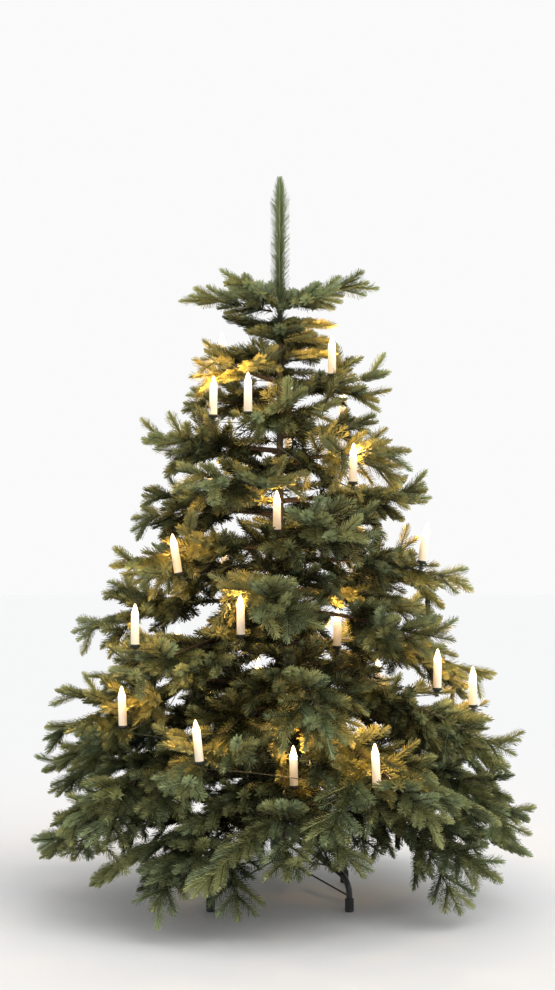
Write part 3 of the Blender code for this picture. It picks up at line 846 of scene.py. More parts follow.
def place_candles(brushes, sizes):
    """The candles that the photograph shows, then the rest of the string round the back.

    Each one in view gets a spray of its own to stand on, which is added to the brushes.
    """
    grown = len(brushes.rows)
    points = seat_points(brushes)
    column, row, depth = image_places(points)
    stems = [limb.at(limb.foot + 0.01 * step) for limb in grow_limbs() for step in range(round(100 * limb.end))]
    stem_column, stem_row, stem_depth = image_places(np.array(stems))
    candles = []
    for seen in SEEN_CANDLES:
        off = np.hypot(column - seen.column, row - seen.row)
        reach = max(SEAT_WINDOW, off.min() + 1.0)
        cost = np.where(off < reach, depth + SEAT_OFF_COST * off, np.inf)
        for place in np.flatnonzero(off < reach):
            before = (stem_depth < depth[place] - 0.01) & (abs(stem_column - column[place]) < SHOWN_HALF)
            before &= (stem_row < row[place]) & (stem_row > row[place] - CANDLE_ROWS)
            cost[place] += CROSSED_COST * before.any()
        best = int(np.argmin(cost))
        seat = seen_at(seen.column, seen.row, depth[best])
        add_carrier(brushes, best % grown, seat)
        lean = math.radians(seen.lean)
        candles.append(Candle(seat, Vector((math.sin(lean), 0.0, math.cos(lean))), sizes))
    for number in range(BACK_CANDLE_COUNT):
        share = (number + 0.5) / BACK_CANDLE_COUNT
        height = BACK_LOWEST + (BACK_HIGHEST - BACK_LOWEST) * share
        turn = math.radians(90.0 + 48.0 * math.sin(2.4 * number + 0.6))
        wanted = radial(turn) * (BACK_DEPTH_SHARE * crown_reach(height)) + UP * height
        off = np.linalg.norm(points - np.array(wanted), axis=1)
        for candle in candles:
            off[np.linalg.norm(points - np.array(candle.seat), axis=1) < CANDLE_SPACING] = np.inf
        for seen in SEEN_CANDLES:
            off[np.hypot(column - seen.column, row - seen.row) < CANDLE_SPACING_SEEN] = np.inf
        candles.append(Candle(Vector(points[int(np.argmin(off))]), UP.copy(), sizes))
    brushes.close()
    return candles


def clear_view(brushes, candles):
    """Leaves out sprays that pass through a candle, or hide one in view or the leg that shows."""
    keep = np.ones(len(brushes.length), dtype=bool)
    for share in np.linspace(0.0, 1.0, 9):
        column, row, _ = image_places(brushes.at(share))
        over = (column > SHOWN_LEG_COLUMNS[0]) & (column < SHOWN_LEG_COLUMNS[1])
        keep &= ~(over & (row > SHOWN_LEG_ROW))
    for number, candle in enumerate(candles):
        head = candle.seat + candle.upward * (candle.height + 0.004)
        ends, rows, depths = image_places(np.array((candle.seat, head)))
        for share in np.linspace(0.0, 1.0, 9):
            points = brushes.at(share)
            high, away = candle.distances(points)
            near = (high > CLIP_GRIP + DISH_HEIGHT) & (high < candle.height)
            keep &= ~(near & (away < candle.sizes.candle_radius + 2.0 * CLEARANCE))
            if number < len(SEEN_CANDLES):
                column, row, depth = image_places(points)
                middle = ends[0] + (ends[1] - ends[0]) * (row - rows[0]) / (rows[1] - rows[0])
                over = (row < rows[0] - 3.0) & (row > rows[1] - 2.0) & (abs(column - middle) < SHOWN_HALF)
                keep &= ~(over & (depth < depths[0] - 0.008))
    keep[-len(SEEN_CANDLES):] = True
    return brushes.kept(keep)


@lru_cache(maxsize=None)
def dressed_crown():
    """The sprays that stay, and the candles among them."""
    sizes = bpy.context.scene.tree_sizes
    brushes = grow_sprays(sizes)
    candles = place_candles(brushes, sizes)
    return clear_view(brushes, candles), candles


# Meshes


def mesh_piece(name, corners, faces, materials, tones=None, smooth=True):
    """A mesh object from arrays of corners and of faces that all have the same number of sides."""
    sides = faces.shape[1]
    mesh = bpy.data.meshes.new(name)
    mesh.vertices.add(len(corners))
    mesh.vertices.foreach_set("co", np.asarray(corners, dtype=np.float32).ravel())
    mesh.loops.add(faces.size)
    mesh.loops.foreach_set("vertex_index", faces.astype(np.int32).ravel())
    mesh.polygons.add(len(faces))
    mesh.polygons.foreach_set("loop_start", np.arange(0, faces.size, sides, dtype=np.int32))
    for surface in materials:
        mesh.materials.append(surface)
    if tones is not None:
        mesh.polygons.foreach_set("material_index", tones.astype(np.int32))
    mesh.polygons.foreach_set("use_smooth", np.full(len(faces), smooth))
    mesh.update(calc_edges=True)
    return link_piece(name, mesh)


def link_piece(name, mesh):
    made = bpy.data.objects.new(name, mesh)
    bpy.context.scene.collection.objects.link(made)
    return made


def shape_piece(name, shape, surface, smooth_below=40.0):
    """A mesh object from a bmesh, shaded smooth below this angle in degrees."""
    bmesh.ops.recalc_face_normals(shape, faces=shape.faces)
    mesh = bpy.data.meshes.new(name)
    shape.to_mesh(mesh)
    shape.free()
    mesh.materials.append(surface)
    mesh.shade_smooth()
    mesh.set_sharp_from_angle(angle=math.radians(smooth_below))
    return link_piece(name, mesh)


class TubeBatch:
    """Closed tubes gathered into one mesh, each from rings of corners."""

    def __init__(self, sides):
        self.sides = sides
        self.corners = []
        self.faces = []
        self.total = 0

    def add(self, centres, across, up, radii):
        """Adds a tube; radii is one number a ring, or one row of numbers a ring."""
        count = len(centres)
        angles = math.tau * np.arange(self.sides) / self.sides
        radii = np.asarray(radii, dtype=float)
        if radii.ndim == 1:
            radii = np.repeat(radii[:, None], self.sides, axis=1)
        ring = across[:, None, :] * np.cos(angles)[None, :, None]
        ring = ring + up[:, None, :] * np.sin(angles)[None, :, None]
        corners = centres[:, None, :] + ring * radii[:, :, None]
        ends = np.stack((centres[0], centres[-1]))
        self.corners.append(np.concatenate((corners.reshape(-1, 3), ends)))
        here = np.arange(self.sides)
        after = (here + 1) % self.sides
        low = self.total + self.sides * np.arange(count - 1)[:, None]
        first = np.stack((low + here, low + after, low + self.sides + here), axis=-1)
        second = np.stack((low + after, low + self.sides + after, low + self.sides + here), axis=-1)
        foot = self.total + self.sides * count
        last = self.total + self.sides * (count - 1)
        foot_cap = np.stack((np.full(self.sides, foot), self.total + after, self.total + here), axis=-1)
        head_cap = np.stack((np.full(self.sides, foot + 1), last + here, last + after), axis=-1)
        self.faces.extend((first.reshape(-1, 3), second.reshape(-1, 3), foot_cap, head_cap))
        self.total = foot + 2

    def piece(self, name, surface):
        corners = np.concatenate(self.corners)
        return mesh_piece(name, corners, np.concatenate(self.faces), [surface])


def lathe(shape, profile, sides, place, rise=None):
    """Adds a solid turned from (radius, height) points, from axis to axis, and placed.

    If rise is given, that layer of the corners gets the share of the height that each is at.
    """
    rings = []
    low, high = profile[0][1], profile[-1][1]
    for radius, height in profile:
        ring = []
        for step in range(sides if radius else 1):
            turn = math.tau * step / sides
            point = Vector((radius * math.cos(turn), radius * math.sin(turn), height))
            corner = shape.verts.new(place @ point)
            if rise is not None:
                corner[rise] = (height - low) / (high - low)
            ring.append(corner)
        rings.append(ring if radius else ring * sides)
    for lower, upper in zip(rings, rings[1:]):
        for step in range(sides):
            after = (step + 1) % sides
            corners = list(dict.fromkeys((lower[step], lower[after], upper[after], upper[step])))
            if len(corners) > 2:
                shape.faces.new(corners)


def upright(point, upward):
    """A placement at a point with Z along the upward direction."""
    return Matrix.Translation(point) @ UP.rotation_difference(upward).to_matrix().to_4x4()


def wrap_relief(along, angles, pitch):
    """The wrap's depth at each place: it falls from one edge of the tape to the next."""
    phase = along[:, None] / pitch + angles[None, :] / math.tau
    return 1.0 - WRAP_DEPTH * (phase - np.floor(phase)) ** 2


# Materials


class Socket:
    """An output of a node that Python's operators work on, each adding a Math node."""

    def __init__(self, surface, link):
        self.surface = surface
        self.link = link

    def math(self, operation, first, second):
        return self.surface.node("ShaderNodeMath", {"operation": operation}, {0: first, 1: second})

    def __add__(self, other):
        return self.math("ADD", self, other)

    def __radd__(self, other):
        return self.math("ADD", other, self)

    def __sub__(self, other):
        return self.math("SUBTRACT", self, other)

    def __rsub__(self, other):
        return self.math("SUBTRACT", other, self)

    def __mul__(self, other):
        return self.math("MULTIPLY", self, other)

    def __rmul__(self, other):
        return self.math("MULTIPLY", other, self)

    def __pow__(self, other):
        return self.math("POWER", self, other)


class Surface:
    """A material under construction, with its Principled shader."""

    def __init__(self, name, colour, roughness, metallic=0.0):
        self.material = bpy.data.materials.new(name)
        self.material.use_nodes = True
        self.tree = self.material.node_tree
        self.shader = self.tree.nodes["Principled BSDF"]
        self.set("Base Color", (*colour[:3], 1.0))
        self.set("Roughness", roughness)
        self.set("Metallic", metallic)

    def set(self, name, value):
        """Sets a socket of the shader to a value, or links it."""
        self.feed(self.shader.inputs[name], value)

    def feed(self, socket, value):
        if isinstance(value, Socket):
            self.tree.links.new(value.link, socket)
        else:
            socket.default_value = value

    def node(self, kind, settings=None, inputs=None, output=0):
        """Adds a node with its settings, then its inputs' values or links, and gives one output."""
        made = self.tree.nodes.new(kind)
        for key, value in (settings or {}).items():
            if key == "stops":
                self.fill_ramp(made.color_ramp, value)
            else:
                setattr(made, key, value)
        for key, value in (inputs or {}).items():
            self.feed(made.inputs[key], value)
        return Socket(self, made.outputs[output])

    def fill_ramp(self, ramp, stops):
        while len(ramp.elements) < len(stops):
            ramp.elements.new(1.0)
        for element, (position, value) in zip(ramp.elements, stops):
            element.position = position
            element.color = (value, value, value, 1.0)

    def place(self):
        return self.node("ShaderNodeTexCoord", output="Object")

    def noise(self, scale, detail=4.0, place=None):
        settings = {"noise_dimensions": "3D"}
        where = place if place is not None else self.place()
        return self.node("ShaderNodeTexNoise", settings, {"Vector": where, "Scale": scale, "Detail": detail})

    def ramp(self, value, stops):
        return self.node("ShaderNodeValToRGB", {"stops": stops}, {"Fac": value})

    def mix(self, share, first, second):
        """A colour between two others."""
        settings = {"data_type": "RGBA"}
        inputs = {"Factor": share, "A": (*first[:3], 1.0) if isinstance(first, tuple) else first}
        inputs["B"] = (*second[:3], 1.0) if isinstance(second, tuple) else second
        made = self.tree.nodes.new("ShaderNodeMix")
        made.data_type = settings["data_type"]
        self.feed(made.inputs[0], inputs["Factor"])
        self.feed(made.inputs[6], inputs["A"])
        self.feed(made.inputs[7], inputs["B"])
        return Socket(self, made.outputs[2])

    def bump(self, height, distance, strength=1.0):
        inputs = {"Height": height, "Distance": distance, "Strength": strength}
        self.set("Normal", self.node("ShaderNodeBump", None, inputs))


def between(first, second, share):
    return tuple(a + (b - a) * share for a, b in zip(first[:3], second[:3]))


def needle_materials(colours):
    """The needles' tones from dark to light, then the ones with a flame's glow painted on."""
    made = []
    for number, share in enumerate(TONE_STEPS):
        plain = between(colours.needle_dark, colours.needle_light, share)
        for name, hue in zip(("warm", "cool"), TONE_HUES):
            colour = tuple(value * factor for value, factor in zip(plain, hue))
            made.append(needle_material(f"needles_{name}_{number + 1}", colour))
    middle = between(colours.needle_dark, colours.needle_light, 0.5)
    for number, share in enumerate(LIT_STEPS):
        made.append(needle_material(f"needles_lit_{number + 1}", between(middle, colours.needle_lit, share)))
    return made


def needle_material(name, colour):
    surface = Surface(name, colour, 0.52)
    surface.set("Specular IOR Level", 0.14)
    return surface.material


def wrap_material(colours):
    """Paper tape wound on the pole and the limbs: fibrous, darker and lighter in patches."""
    surface = Surface("bough_wrap", colours.wrap, 0.85)
    fibres = surface.noise(420.0, 6.0)
    patches = surface.noise(28.0, 3.0)
    dark = between(colours.wrap, (0.0, 0.0, 0.0), 0.45)
    light = between(colours.wrap, (0.30, 0.24, 0.17), 0.20)
    share = surface.ramp(patches * 0.6 + fibres * 0.4, ((0.32, 0.0), (0.68, 1.0)))
    surface.set("Base Color", surface.mix(share, dark, light))
    surface.set("Roughness", 0.72 + fibres * 0.2)
    surface.bump(fibres, 0.0006, 0.8)
    return surface.material


def twig_material(colours):
    """Moulded brown twig, finely grained."""
    surface = Surface("moulded_twig", colours.twig, 0.6)
    grain = surface.noise(260.0, 3.0)
    surface.set("Roughness", 0.5 + grain * 0.2)
    surface.bump(grain, 0.0004, 0.6)
    return surface.material


def paint_material(colours):
    """Black powder coat: fine orange peel, dull patches and dust on it."""
    surface = Surface("black_paint", colours.paint, 0.38, metallic=0.2)
    peel = surface.noise(900.0, 2.0)
    dust = surface.noise(35.0, 5.0)
    grey = between(colours.paint, (0.5, 0.5, 0.5), 0.09)
    share = surface.ramp(dust, ((0.45, 0.0), (0.80, 1.0)))
    surface.set("Base Color", surface.mix(share, tuple(colours.paint), grey))
    surface.set("Roughness", 0.30 + share * 0.25)
    surface.bump(peel, 0.00025, 0.5)
    return surface.material


def rubber_material(colours):
    """Moulded foot cap, finely grained."""
    surface = Surface("foot_rubber", between(colours.paint, (0.5, 0.5, 0.5), 0.02), 0.7)
    grain = surface.noise(1400.0, 2.0)
    surface.set("Roughness", 0.62 + grain * 0.2)
    surface.bump(grain, 0.0002, 0.5)
    return surface.material


def ivory_material(colours):
    """Cream plastic candle, with soft streaks like wax, and the bulb's light painted on as a glow, faint at the
    foot and strong at the top.
    """
    surface = Surface("candle_ivory", colours.ivory, 0.35)
    streaks = surface.noise(90.0, 2.0)
    warm = between(colours.ivory, (1.0, 0.72, 0.42), 0.22)
    share = surface.ramp(streaks, ((0.35, 0.0), (0.70, 1.0)))
    surface.set("Base Color", surface.mix(share, tuple(colours.ivory), warm))
    surface.set("Roughness", 0.28 + streaks * 0.15)
    surface.set("Subsurface Weight", 0.25)
    surface.set("Subsurface Radius", (0.006, 0.004, 0.002))
    # Painted glow: the shaft gives off the bulb's light, faintly at its foot and strongly at its top
    rise = surface.node("ShaderNodeAttribute", {"attribute_name": "rise"}, output=2)
    lit = between(colours.flame, (1.0, 1.0, 1.0), 0.25)
    surface.set("Emission Color", surface.mix(rise ** 2.2, between((0.0, 0.0, 0.0), lit, 0.06), lit))
    surface.set("Emission Strength", 0.9)
    surface.bump(streaks, 0.0003, 0.4)
    return surface.material


def flame_material(colours):
    """Frosted bulb, lit from inside."""
    surface = Surface("flame_bulb", (1.0, 0.90, 0.74), 0.3)
    frost = surface.noise(600.0, 2.0)
    surface.set("Roughness", 0.25 + frost * 0.2)
    surface.set("Emission Color", (*colours.flame[:3], 1.0))
    surface.set("Emission Strength", 7.0)
    return surface.material


def clip_material(colours):
    """Dark green moulded clip and dish."""
    surface = Surface("clip_green", colours.clip, 0.42)
    grain = surface.noise(700.0, 2.0)
    surface.set("Roughness", 0.34 + grain * 0.2)
    surface.bump(grain, 0.0002, 0.5)
    return surface.material


def wire_material(colours):
    """Soft dark sleeve of the string's wire."""
    surface = Surface("wire_sleeve", colours.wire, 0.5)
    grain = surface.noise(500.0, 2.0)
    surface.set("Roughness", 0.42 + grain * 0.2)
    surface.bump(grain, 0.0002, 0.4)
    return surface.material


def floor_material(colours):
    """Pale smooth studio floor."""
    surface = Surface("studio_floor", colours.floor, 0.6)
    cloud = surface.noise(0.9, 2.0)
    surface.set("Roughness", 0.55 + cloud * 0.1)
    return surface.material


# Settings that a user would change


def length_setting(name, description, default):
    return FloatProperty(name=name, description=description, default=default, min=0.0, unit="LENGTH", precision=5)


def colour_setting(name, description, default):
    return FloatVectorProperty(
        name=name, description=description, default=default, subtype="COLOR", min=0.0, max=1.0
    )


class TreeSizes(bpy.types.PropertyGroup):
    """Sizes of the needles and of the candle lights."""

    needle_length: length_setting("Needle length", "Length of a needle on a spray", 0.0210)
    needle_width: length_setting("Needle width", "Width of a needle at its foot", 0.0029)
    needles_per_spray: IntProperty(
        name="Needles per spray", description="Needles on a spray of full length", default=128, min=10
    )
    twig_radius: length_setting("Twig radius", "Half the thickness of a spray's twig", 0.0016)
    candle_length: length_setting("Candle length", "Length of the candle's shaft above its holder", 0.063)
    candle_radius: length_setting("Candle radius", "Half the thickness of the candle's shaft", 0.0100)
    flame_length: length_setting("Flame length", "Length of the flame-shaped bulb", 0.031)
    flame_radius: length_setting("Flame radius", "Half the thickness of the bulb", 0.0080)
    dish_radius: length_setting("Dish radius", "Half the width of the dish under the candle", 0.0140)
    wire_radius: length_setting("Wire radius", "Half the thickness of the string's wire", 0.0011)
    glow: FloatProperty(name="Glow", description="Light of each flame", default=2.0, min=0.0, unit="POWER")


class TreeColours(bpy.types.PropertyGroup):
    """Colours of the tree, of its stand and of the candle lights."""

    needle_dark: colour_setting("Darkest needles", "Needles of the darkest sprays", (0.012, 0.016, 0.005))
    needle_light: colour_setting("Lightest needles", "Needles of the lightest sprays", (0.33, 0.37, 0.185))
    # Painted glow of the flames on the needles near them
    needle_lit: colour_setting("Lit needles", "Needles close to a flame", (0.43, 0.36, 0.10))
    twig: colour_setting("Twigs", "Moulded twigs under the needles", (0.070, 0.058, 0.028))
    wrap: colour_setting("Wrap", "Tape on the pole and the boughs", (0.036, 0.027, 0.017))
    paint: colour_setting("Stand", "Paint of the stand", (0.012, 0.012, 0.013))
    ivory: colour_setting("Candles", "Shafts of the candles", (0.86, 0.76, 0.62))
    flame: colour_setting("Flames", "Light of the flames", (1.0, 0.68, 0.34))
    clip: colour_setting("Clips", "Clips and dishes under the candles", (0.014, 0.022, 0.016))
    wire: colour_setting("Wire", "Wire of the string", (0.060, 0.075, 0.055))
    floor: colour_setting("Floor", "Floor round the tree", (0.708, 0.711, 0.717))


# Pieces


def ride(piece, nodes=()):
    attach(piece, BODY)
    if nodes:
        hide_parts(*nodes)


def settings():
    scene = bpy.context.scene
    return scene.tree_sizes, scene.tree_colours


class TREE_OT_pole(bpy.types.Operator):
    """Winds tape round the pole, from the top of the stand's hub up"""

    bl_idname = "tree.pole"
    bl_label = "Pole"

    def execute(self, context):
        _, colours = settings()
        count = round((POLE_TIP - POLE_FOOT) / POLE_RING_STEP)
        heights = np.linspace(POLE_FOOT, POLE_TIP, count + 1)
        angles = math.tau * np.arange(POLE_SIDES) / POLE_SIDES
        radii = np.array([pole_radius(height) for height in heights])[:, None]
        relief = wrap_relief(heights, angles, WRAP_PITCH)
        relief[heights < HUB_TOP + 0.002] = 1.0
        tubes = TubeBatch(POLE_SIDES)
        centres = np.zeros((len(heights), 3))
        centres[:, 2] = heights
        across = np.tile((1.0, 0.0, 0.0), (len(heights), 1))
        deep = np.tile((0.0, 1.0, 0.0), (len(heights), 1))
        tubes.add(centres, across, deep, radii * relief)
        ride(tubes.piece("wrapped_pole", wrap_material(colours)), ["trunk"])
        return {"FINISHED"}


class TREE_OT_limbs(bpy.types.Operator):
    """Grows every bough and stem as one wound limb from the pole to its last branchlet"""

    bl_idname = "tree.limbs"
    bl_label = "Limbs"

    def execute(self, context):
        tubes = TubeBatch(LIMB_SIDES)
        angles = math.tau * np.arange(LIMB_SIDES) / LIMB_SIDES
        for limb in grow_limbs():
            far = limb.end + STEM_OVERLAP
            count = round((far - limb.foot) / LIMB_RING_STEP)
            marks = np.linspace(limb.foot, far, count + 1)
            centres = np.array([limb.at(mark) for mark in marks])
            headings = np.array([limb.heading(mark) for mark in marks])
            across = np.tile(limb.across, (len(marks), 1))
            thick = BOUGH_RADIUS if limb.number < BOUGH_COUNT else BOUGH_END_RADIUS
            shares = (marks - limb.foot) / (far - limb.foot)
            radii = thick + (STEM_TIP_RADIUS * 0.55 - thick) * shares
            relief = wrap_relief(marks, angles, WRAP_PITCH)
            tubes.add(centres, across, np.cross(across, headings), radii[:, None] * relief)
        boughs = [f"bough_{number + 1:02d}" for number in range(BOUGH_COUNT)]
        wrap = bpy.data.materials["bough_wrap"]
        ride(tubes.piece("wrapped_limbs", wrap), boughs)
        return {"FINISHED"}


class TREE_OT_twigs(bpy.types.Operator):
    """Grows the twig of every branchlet and of every spray on it"""

    bl_idname = "tree.twigs"
    bl_label = "Twigs"

    def execute(self, context):
        sizes, colours = settings()
        brushes, _ = dressed_crown()
        tubes = TubeBatch(3)
        for row in range(len(brushes.length)):
            root, axis, length = brushes.root[row], brushes.axis[row], brushes.length[row]
            centres = root + axis * (np.array((-0.03, 0.97)) * length)[:, None]
            radii = brushes.radius[row] * np.array((1.2, 0.5))
            across = np.tile(brushes.side[row], (2, 1))
            tubes.add(centres, across, np.tile(brushes.up[row], (2, 1)), radii)
        ride(tubes.piece("twigs", twig_material(colours)))
        return {"FINISHED"}


class TREE_OT_needles(bpy.types.Operator):
    """Grows the needles, in pieces from the lowest limbs up, in place of the solid foliage"""

    bl_idname = "tree.needles"
    bl_label = "Needles"

    def execute(self, context):
        sizes, colours = settings()
        brushes, candles = dressed_crown()
        tones = deal_tones(brushes, candles)
        materials = needle_materials(colours)
        groups = [[]]
        held = 0
        for number in range(LIMB_COUNT + 1):
            more = int(brushes.needles[brushes.limb == number].sum())
            if held + more > PIECE_NEEDLES:
                groups.append([])
                held = 0
            groups[-1].append(number)
            held += more
        for index, group in enumerate(groups):
            chosen = np.isin(brushes.limb, group)
            part = brushes.kept(chosen)
            corners, triangles, tone = needle_mesh(part, tones[chosen], sizes, candles)
            piece = mesh_piece(f"needles_{index + 1}", corners, triangles, materials, tone)
            ride(piece, [foliage_node(number) for number in group])
        return {"FINISHED"}


class TREE_OT_stand(bpy.types.Operator):
    """Paints the stand and adds its foot caps, pivot lugs and pins"""

    bl_idname = "tree.stand"
    bl_label = "Stand"

    def execute(self, context):
        _, colours = settings()
        paint = paint_material(colours)
        for name in STAND_NODES:
            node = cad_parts[name]
            node.data.materials.clear()
            node.data.materials.append(paint)
        caps = bmesh.new()
        lugs = bmesh.new()
        for number in range(LEG_COUNT):
            out = radial(math.radians(LEG_TURN + 360.0 * number / LEG_COUNT))
            self.add_cap(caps, Matrix.Translation(out * LEG_REACH))
            self.add_pivot(lugs, out)
        ride(shape_piece("foot_caps", caps, rubber_material(colours)))
        ride(shape_piece("leg_pivots", lugs, paint))
        return {"FINISHED"}

    def add_cap(self, shape, place):
        """A ribbed cap over the leg's foot, a hair thicker than it."""
        outer = FOOT_RADIUS + 0.0009
        profile = [(0.0, 0.0002), (outer - 0.0012, 0.0002), (outer, 0.0014)]
        for rib in range(3):
            height = 0.008 + 0.005 * rib
            profile.extend(((outer, height), (outer - 0.0006, height + 0.0008), (outer, height + 0.0016)))
        top = FOOT_HEIGHT + 0.0015
        profile.extend(((outer, top - 0.001), (outer - 0.001, top), (LEG_RADIUS + 0.0003, top), (0.0, top)))
        lathe(shape, profile, 28, place)

    def add_pivot(self, shape, out):
        """A pin through the leg's end between two round-ended lugs on the hub."""
        across = UP.cross(out)
        centre = out * (HUB_RADIUS + 0.008) + UP * LEG_PIVOT_HEIGHT
        half = LEG_RADIUS + 0.0042
        pin = ((0.0, -half), (0.0034, -half), (0.0040, 0.0007 - half), (0.0040, half - 0.0007), (0.0034, half), (0.0, half))
        lathe(shape, pin, 16, upright(centre, across))
        for hand in (-1.0, 1.0):
            inner = centre + across * (hand * (LEG_RADIUS + 0.0006))
            disc = ((0.0, 0.0), (0.0085, 0.0), (0.0090, 0.0005), (0.0090, 0.0018), (0.0085, 0.0023), (0.0, 0.0023))
            lathe(shape, disc, 28, upright(inner, across * hand))


class TREE_OT_candles(bpy.types.Operator):
    """Stands the candle lights on their twigs, with clip, dish, shaft, bulb and glow"""

    bl_idname = "tree.candles"
    bl_label = "Candles"

    def execute(self, context):
        sizes, colours = settings()
        _, candles = dressed_crown()
        shafts, flames, clips = bmesh.new(), bmesh.new(), bmesh.new()
        # Each corner's share of the shaft's height, which sets the shaft's painted glow
        rise = shafts.verts.layers.float.new("rise")
        for candle in candles:
            place = upright(candle.seat, candle.upward)
            self.add_clip(clips, place, sizes)
            foot = CLIP_GRIP + DISH_HEIGHT + 0.4 * HOLDER_HEIGHT
            top = CLIP_GRIP + DISH_HEIGHT + HOLDER_HEIGHT + sizes.candle_length
            self.add_shaft(shafts, rise, place, foot, top, sizes.candle_radius)
            self.add_flame(flames, place, top, sizes)
            self.add_glow(candle.flame, sizes, colours)
        ride(shape_piece("candle_shafts", shafts, ivory_material(colours)))
        ride(shape_piece("candle_flames", flames, flame_material(colours), 60.0))
        ride(shape_piece("candle_clips", clips, clip_material(colours)))
        return {"FINISHED"}

    def add_shaft(self, shape, rise, place, foot, top, radius):
        """A shaft that tapers a little, with a rounded shoulder and a sunk rim round the bulb."""
        slim = 0.93 * radius
        profile = [(0.0, foot), (radius, foot), (radius, foot + 0.004)]
        profile.append((slim, top - 0.0035))
        for step in range(1, 5):
            turn = 0.5 * math.pi * step / 4
            profile.append((slim - 0.0030 * (1.0 - math.cos(turn)), top - 0.0035 + 0.0035 * math.sin(turn)))
        profile.extend(((0.70 * radius, top), (0.0, top)))
        lathe(shape, profile, 22, place, rise)

    def add_flame(self, shape, place, top, sizes):
        """A bulb drawn out to a point like a flame, with a foot that sits in the shaft's rim."""
        start = top - 0.001
        profile = [(0.0, start)]
        steps = 14
        for step in range(steps):
            share = step / steps
            swell = 1.0 + BULB_SWELL * math.sin(math.pi * min(share / 0.5, 1.0))
            point = (1.0 - max(share - 0.22, 0.0) / 0.78) ** 0.62
            radius = sizes.flame_radius * min(swell, 1.0 + BULB_SWELL) * point
            profile.append((radius, start + (sizes.flame_length + 0.001) * share))
        profile.append((0.0, top + sizes.flame_length))
        lathe(shape, profile, 18, place)

    def add_clip(self, shape, place, sizes):
        """A dish with a raised rim and a cup on it, over two jaws that grip the twig."""
        low = CLIP_GRIP
        rim = low + DISH_HEIGHT
        wide = sizes.dish_radius
        cup = sizes.candle_radius + 0.0012
        cup_top = rim + HOLDER_HEIGHT
        profile = (
            (0.0, low),
            (0.55 * wide, low),
            (0.90 * wide, low + 0.0016),
            (wide, rim),
            (wide - 0.0009, rim + 0.0002),
            (0.84 * wide, low + 0.0030),
            (cup, low + 0.0024),
            (cup, cup_top - 0.0006),
            (cup - 0.0006, cup_top),
            (0.0, cup_top),
        )
        lathe(shape, profile, 22, place)
        for hand in (-1.0, 1.0):
            jaw = bmesh.ops.create_cube(shape, size=1.0)["verts"]
            bmesh.ops.scale(shape, vec=(0.0080, 0.0016, 0.0150), verts=jaw)
            tilt = Matrix.Rotation(hand * math.radians(14.0), 4, "X")
            shift = Matrix.Translation((0.0, hand * 0.0030, low - 0.0062))
            bmesh.ops.transform(shape, matrix=place @ shift @ tilt, verts=jaw)

    def add_glow(self, point, sizes, colours):
        lamp = bpy.data.lights.new("flame_glow", "POINT")
        lamp.energy = sizes.glow
        lamp.color = (1.0, 0.60, 0.20)
        lamp.shadow_soft_size = 1.6 * sizes.flame_radius
        made = bpy.data.objects.new("flame_glow", lamp)
        made.location = point
        bpy.context.scene.collection.objects.link(made)


class TREE_OT_wires(bpy.types.Operator):
    """Strings the wire from clip to clip, up through the crown"""

    bl_idname = "tree.wires"
    bl_label = "Wires"

    def execute(self, context):
        sizes, colours = settings()
        _, candles = dressed_crown()
        order = self.order_up(candles)
        tubes = TubeBatch(6)
        for first, second in zip(order, order[1:]):
            self.add_run(tubes, first.seat, second.seat, sizes.wire_radius)
        ride(tubes.piece("light_wires", wire_material(colours)))
        return {"FINISHED"}

    def order_up(self, candles):
        """From the lowest candle, always on to the nearest one left."""
        left = sorted(candles, key=lambda candle: candle.seat.z)
        order = [left.pop(0)]
        while left:
            here = order[-1].seat
            nearest = min(left, key=lambda candle: (candle.seat - here).length + 1.5 * candle.seat.z)
            left.remove(nearest)
            order.append(nearest)
        return order

    def add_run(self, tubes, start, end, radius):
        """One stretch, which dips under its clips and keeps inside the crown."""
        drop = UP * 0.006
        span = (end - start).length
        inward = Vector((start.x + end.x, start.y + end.y, 0.0)) * (-0.20)
        first = start - drop
        last = end - drop
        control_a = first + (last - first) * 0.25 + inward - UP * (0.04 * span)
        control_b = first + (last - first) * 0.75 + inward - UP * (0.04 * span)
        count = max(int(span / 0.012), 8)
        points = []
        for step in range(count + 1):
            t = step / count
            rest = 1.0 - t
            point = first * rest ** 3 + control_a * (3.0 * rest * rest * t)
            points.append(point + control_b * (3.0 * rest * t * t) + last * t ** 3)
        centres = np.array(points)
        headings = np.gradient(centres, axis=0)
        headings /= np.linalg.norm(headings, axis=1, keepdims=True)
        across = np.cross(headings, (0.02, 0.01, 1.0))
        across /= np.linalg.norm(across, axis=1, keepdims=True)
        tubes.add(centres, across, np.cross(across, headings), np.full(len(centres), radius))


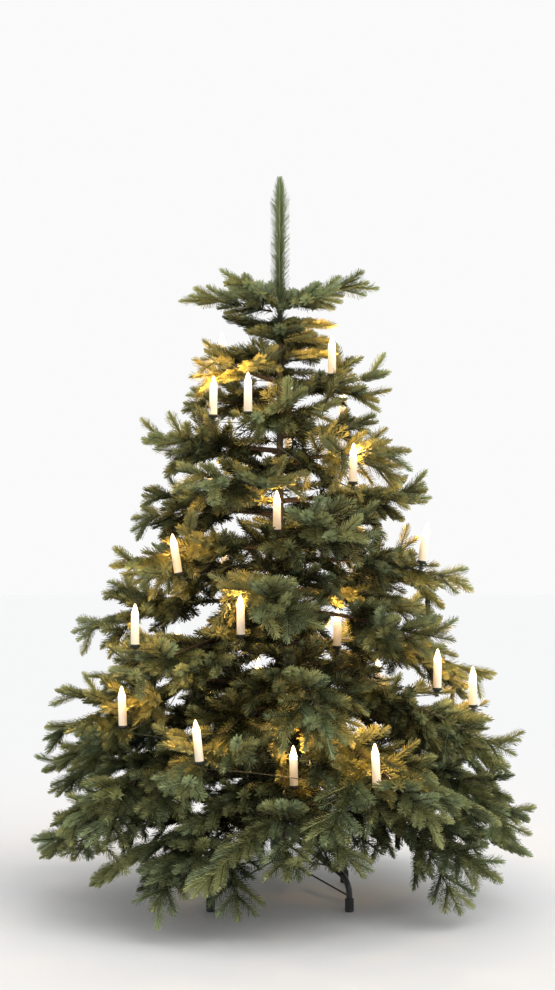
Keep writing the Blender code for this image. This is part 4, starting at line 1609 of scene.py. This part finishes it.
class TREE_OT_stage(bpy.types.Operator):
    """Sets the pale floor, the soft studio light and the camera"""

    bl_idname = "tree.stage"
    bl_label = "Stage"

    def execute(self, context):
        _, colours = settings()
        self.add_floor(floor_material(colours))
        self.add_world()
        self.add_key()
        self.add_camera()
        context.scene.view_settings.view_transform = "Standard"
        return {"FINISHED"}

    def add_floor(self, surface):
        shape = bmesh.new()
        bmesh.ops.create_circle(shape, cap_ends=True, segments=96, radius=14.0)
        floor = shape_piece("floor", shape, surface)
        floor.location.z = -0.0004

    def add_world(self):
        world = bpy.data.worlds.new("studio")
        world.use_nodes = True
        background = world.node_tree.nodes["Background"]
        background.inputs["Color"].default_value = (0.955, 0.958, 0.955, 1.0)
        background.inputs["Strength"].default_value = 1.0
        bpy.context.scene.world = world

    def add_key(self):
        lamp = bpy.data.lights.new("key", "SUN")
        lamp.angle = math.radians(56.0)
        lamp.energy = 1.55
        made = bpy.data.objects.new("key", lamp)
        made.rotation_euler = Vector((-0.85, 0.55, -1.05)).to_track_quat("-Z", "Y").to_euler()
        bpy.context.scene.collection.objects.link(made)

    def add_camera(self):
        lens = bpy.data.cameras.new("camera")
        lens.lens = LENS
        lens.sensor_width = SENSOR
        made = bpy.data.objects.new("camera", lens)
        made.location = CAMERA_PLACE
        made.rotation_euler = (0.5 * math.pi, 0.0, 0.0)
        bpy.context.scene.collection.objects.link(made)
        bpy.context.scene.camera = made


OPERATORS = (
    TREE_OT_stage,
    TREE_OT_pole,
    TREE_OT_limbs,
    TREE_OT_twigs,
    TREE_OT_needles,
    TREE_OT_stand,
    TREE_OT_candles,
    TREE_OT_wires,
)


class TREE_PT_panel(bpy.types.Panel):
    """Lists the tree's settings and the operators that make it"""

    bl_idname = "TREE_PT_panel"
    bl_label = "Christmas Tree"
    bl_space_type = "VIEW_3D"
    bl_region_type = "UI"
    bl_category = "Tree"

    def draw(self, context):
        for group in (context.scene.tree_sizes, context.scene.tree_colours):
            for name in group.__annotations__:
                self.layout.prop(group, name)
        for operator in OPERATORS:
            self.layout.operator(operator.bl_idname)


CLASSES = (TreeSizes, TreeColours, *OPERATORS, TREE_PT_panel)


def register():
    for kind in CLASSES:
        bpy.utils.register_class(kind)
    bpy.types.Scene.tree_sizes = PointerProperty(type=TreeSizes)
    bpy.types.Scene.tree_colours = PointerProperty(type=TreeColours)


def unregister():
    del bpy.types.Scene.tree_colours
    del bpy.types.Scene.tree_sizes
    for kind in reversed(CLASSES):
        bpy.utils.unregister_class(kind)


def main():
    register()
    for operator in OPERATORS:
        group, name = operator.bl_idname.split(".")
        getattr(getattr(bpy.ops, group), name)()


if __name__ == "__main__":
    main()
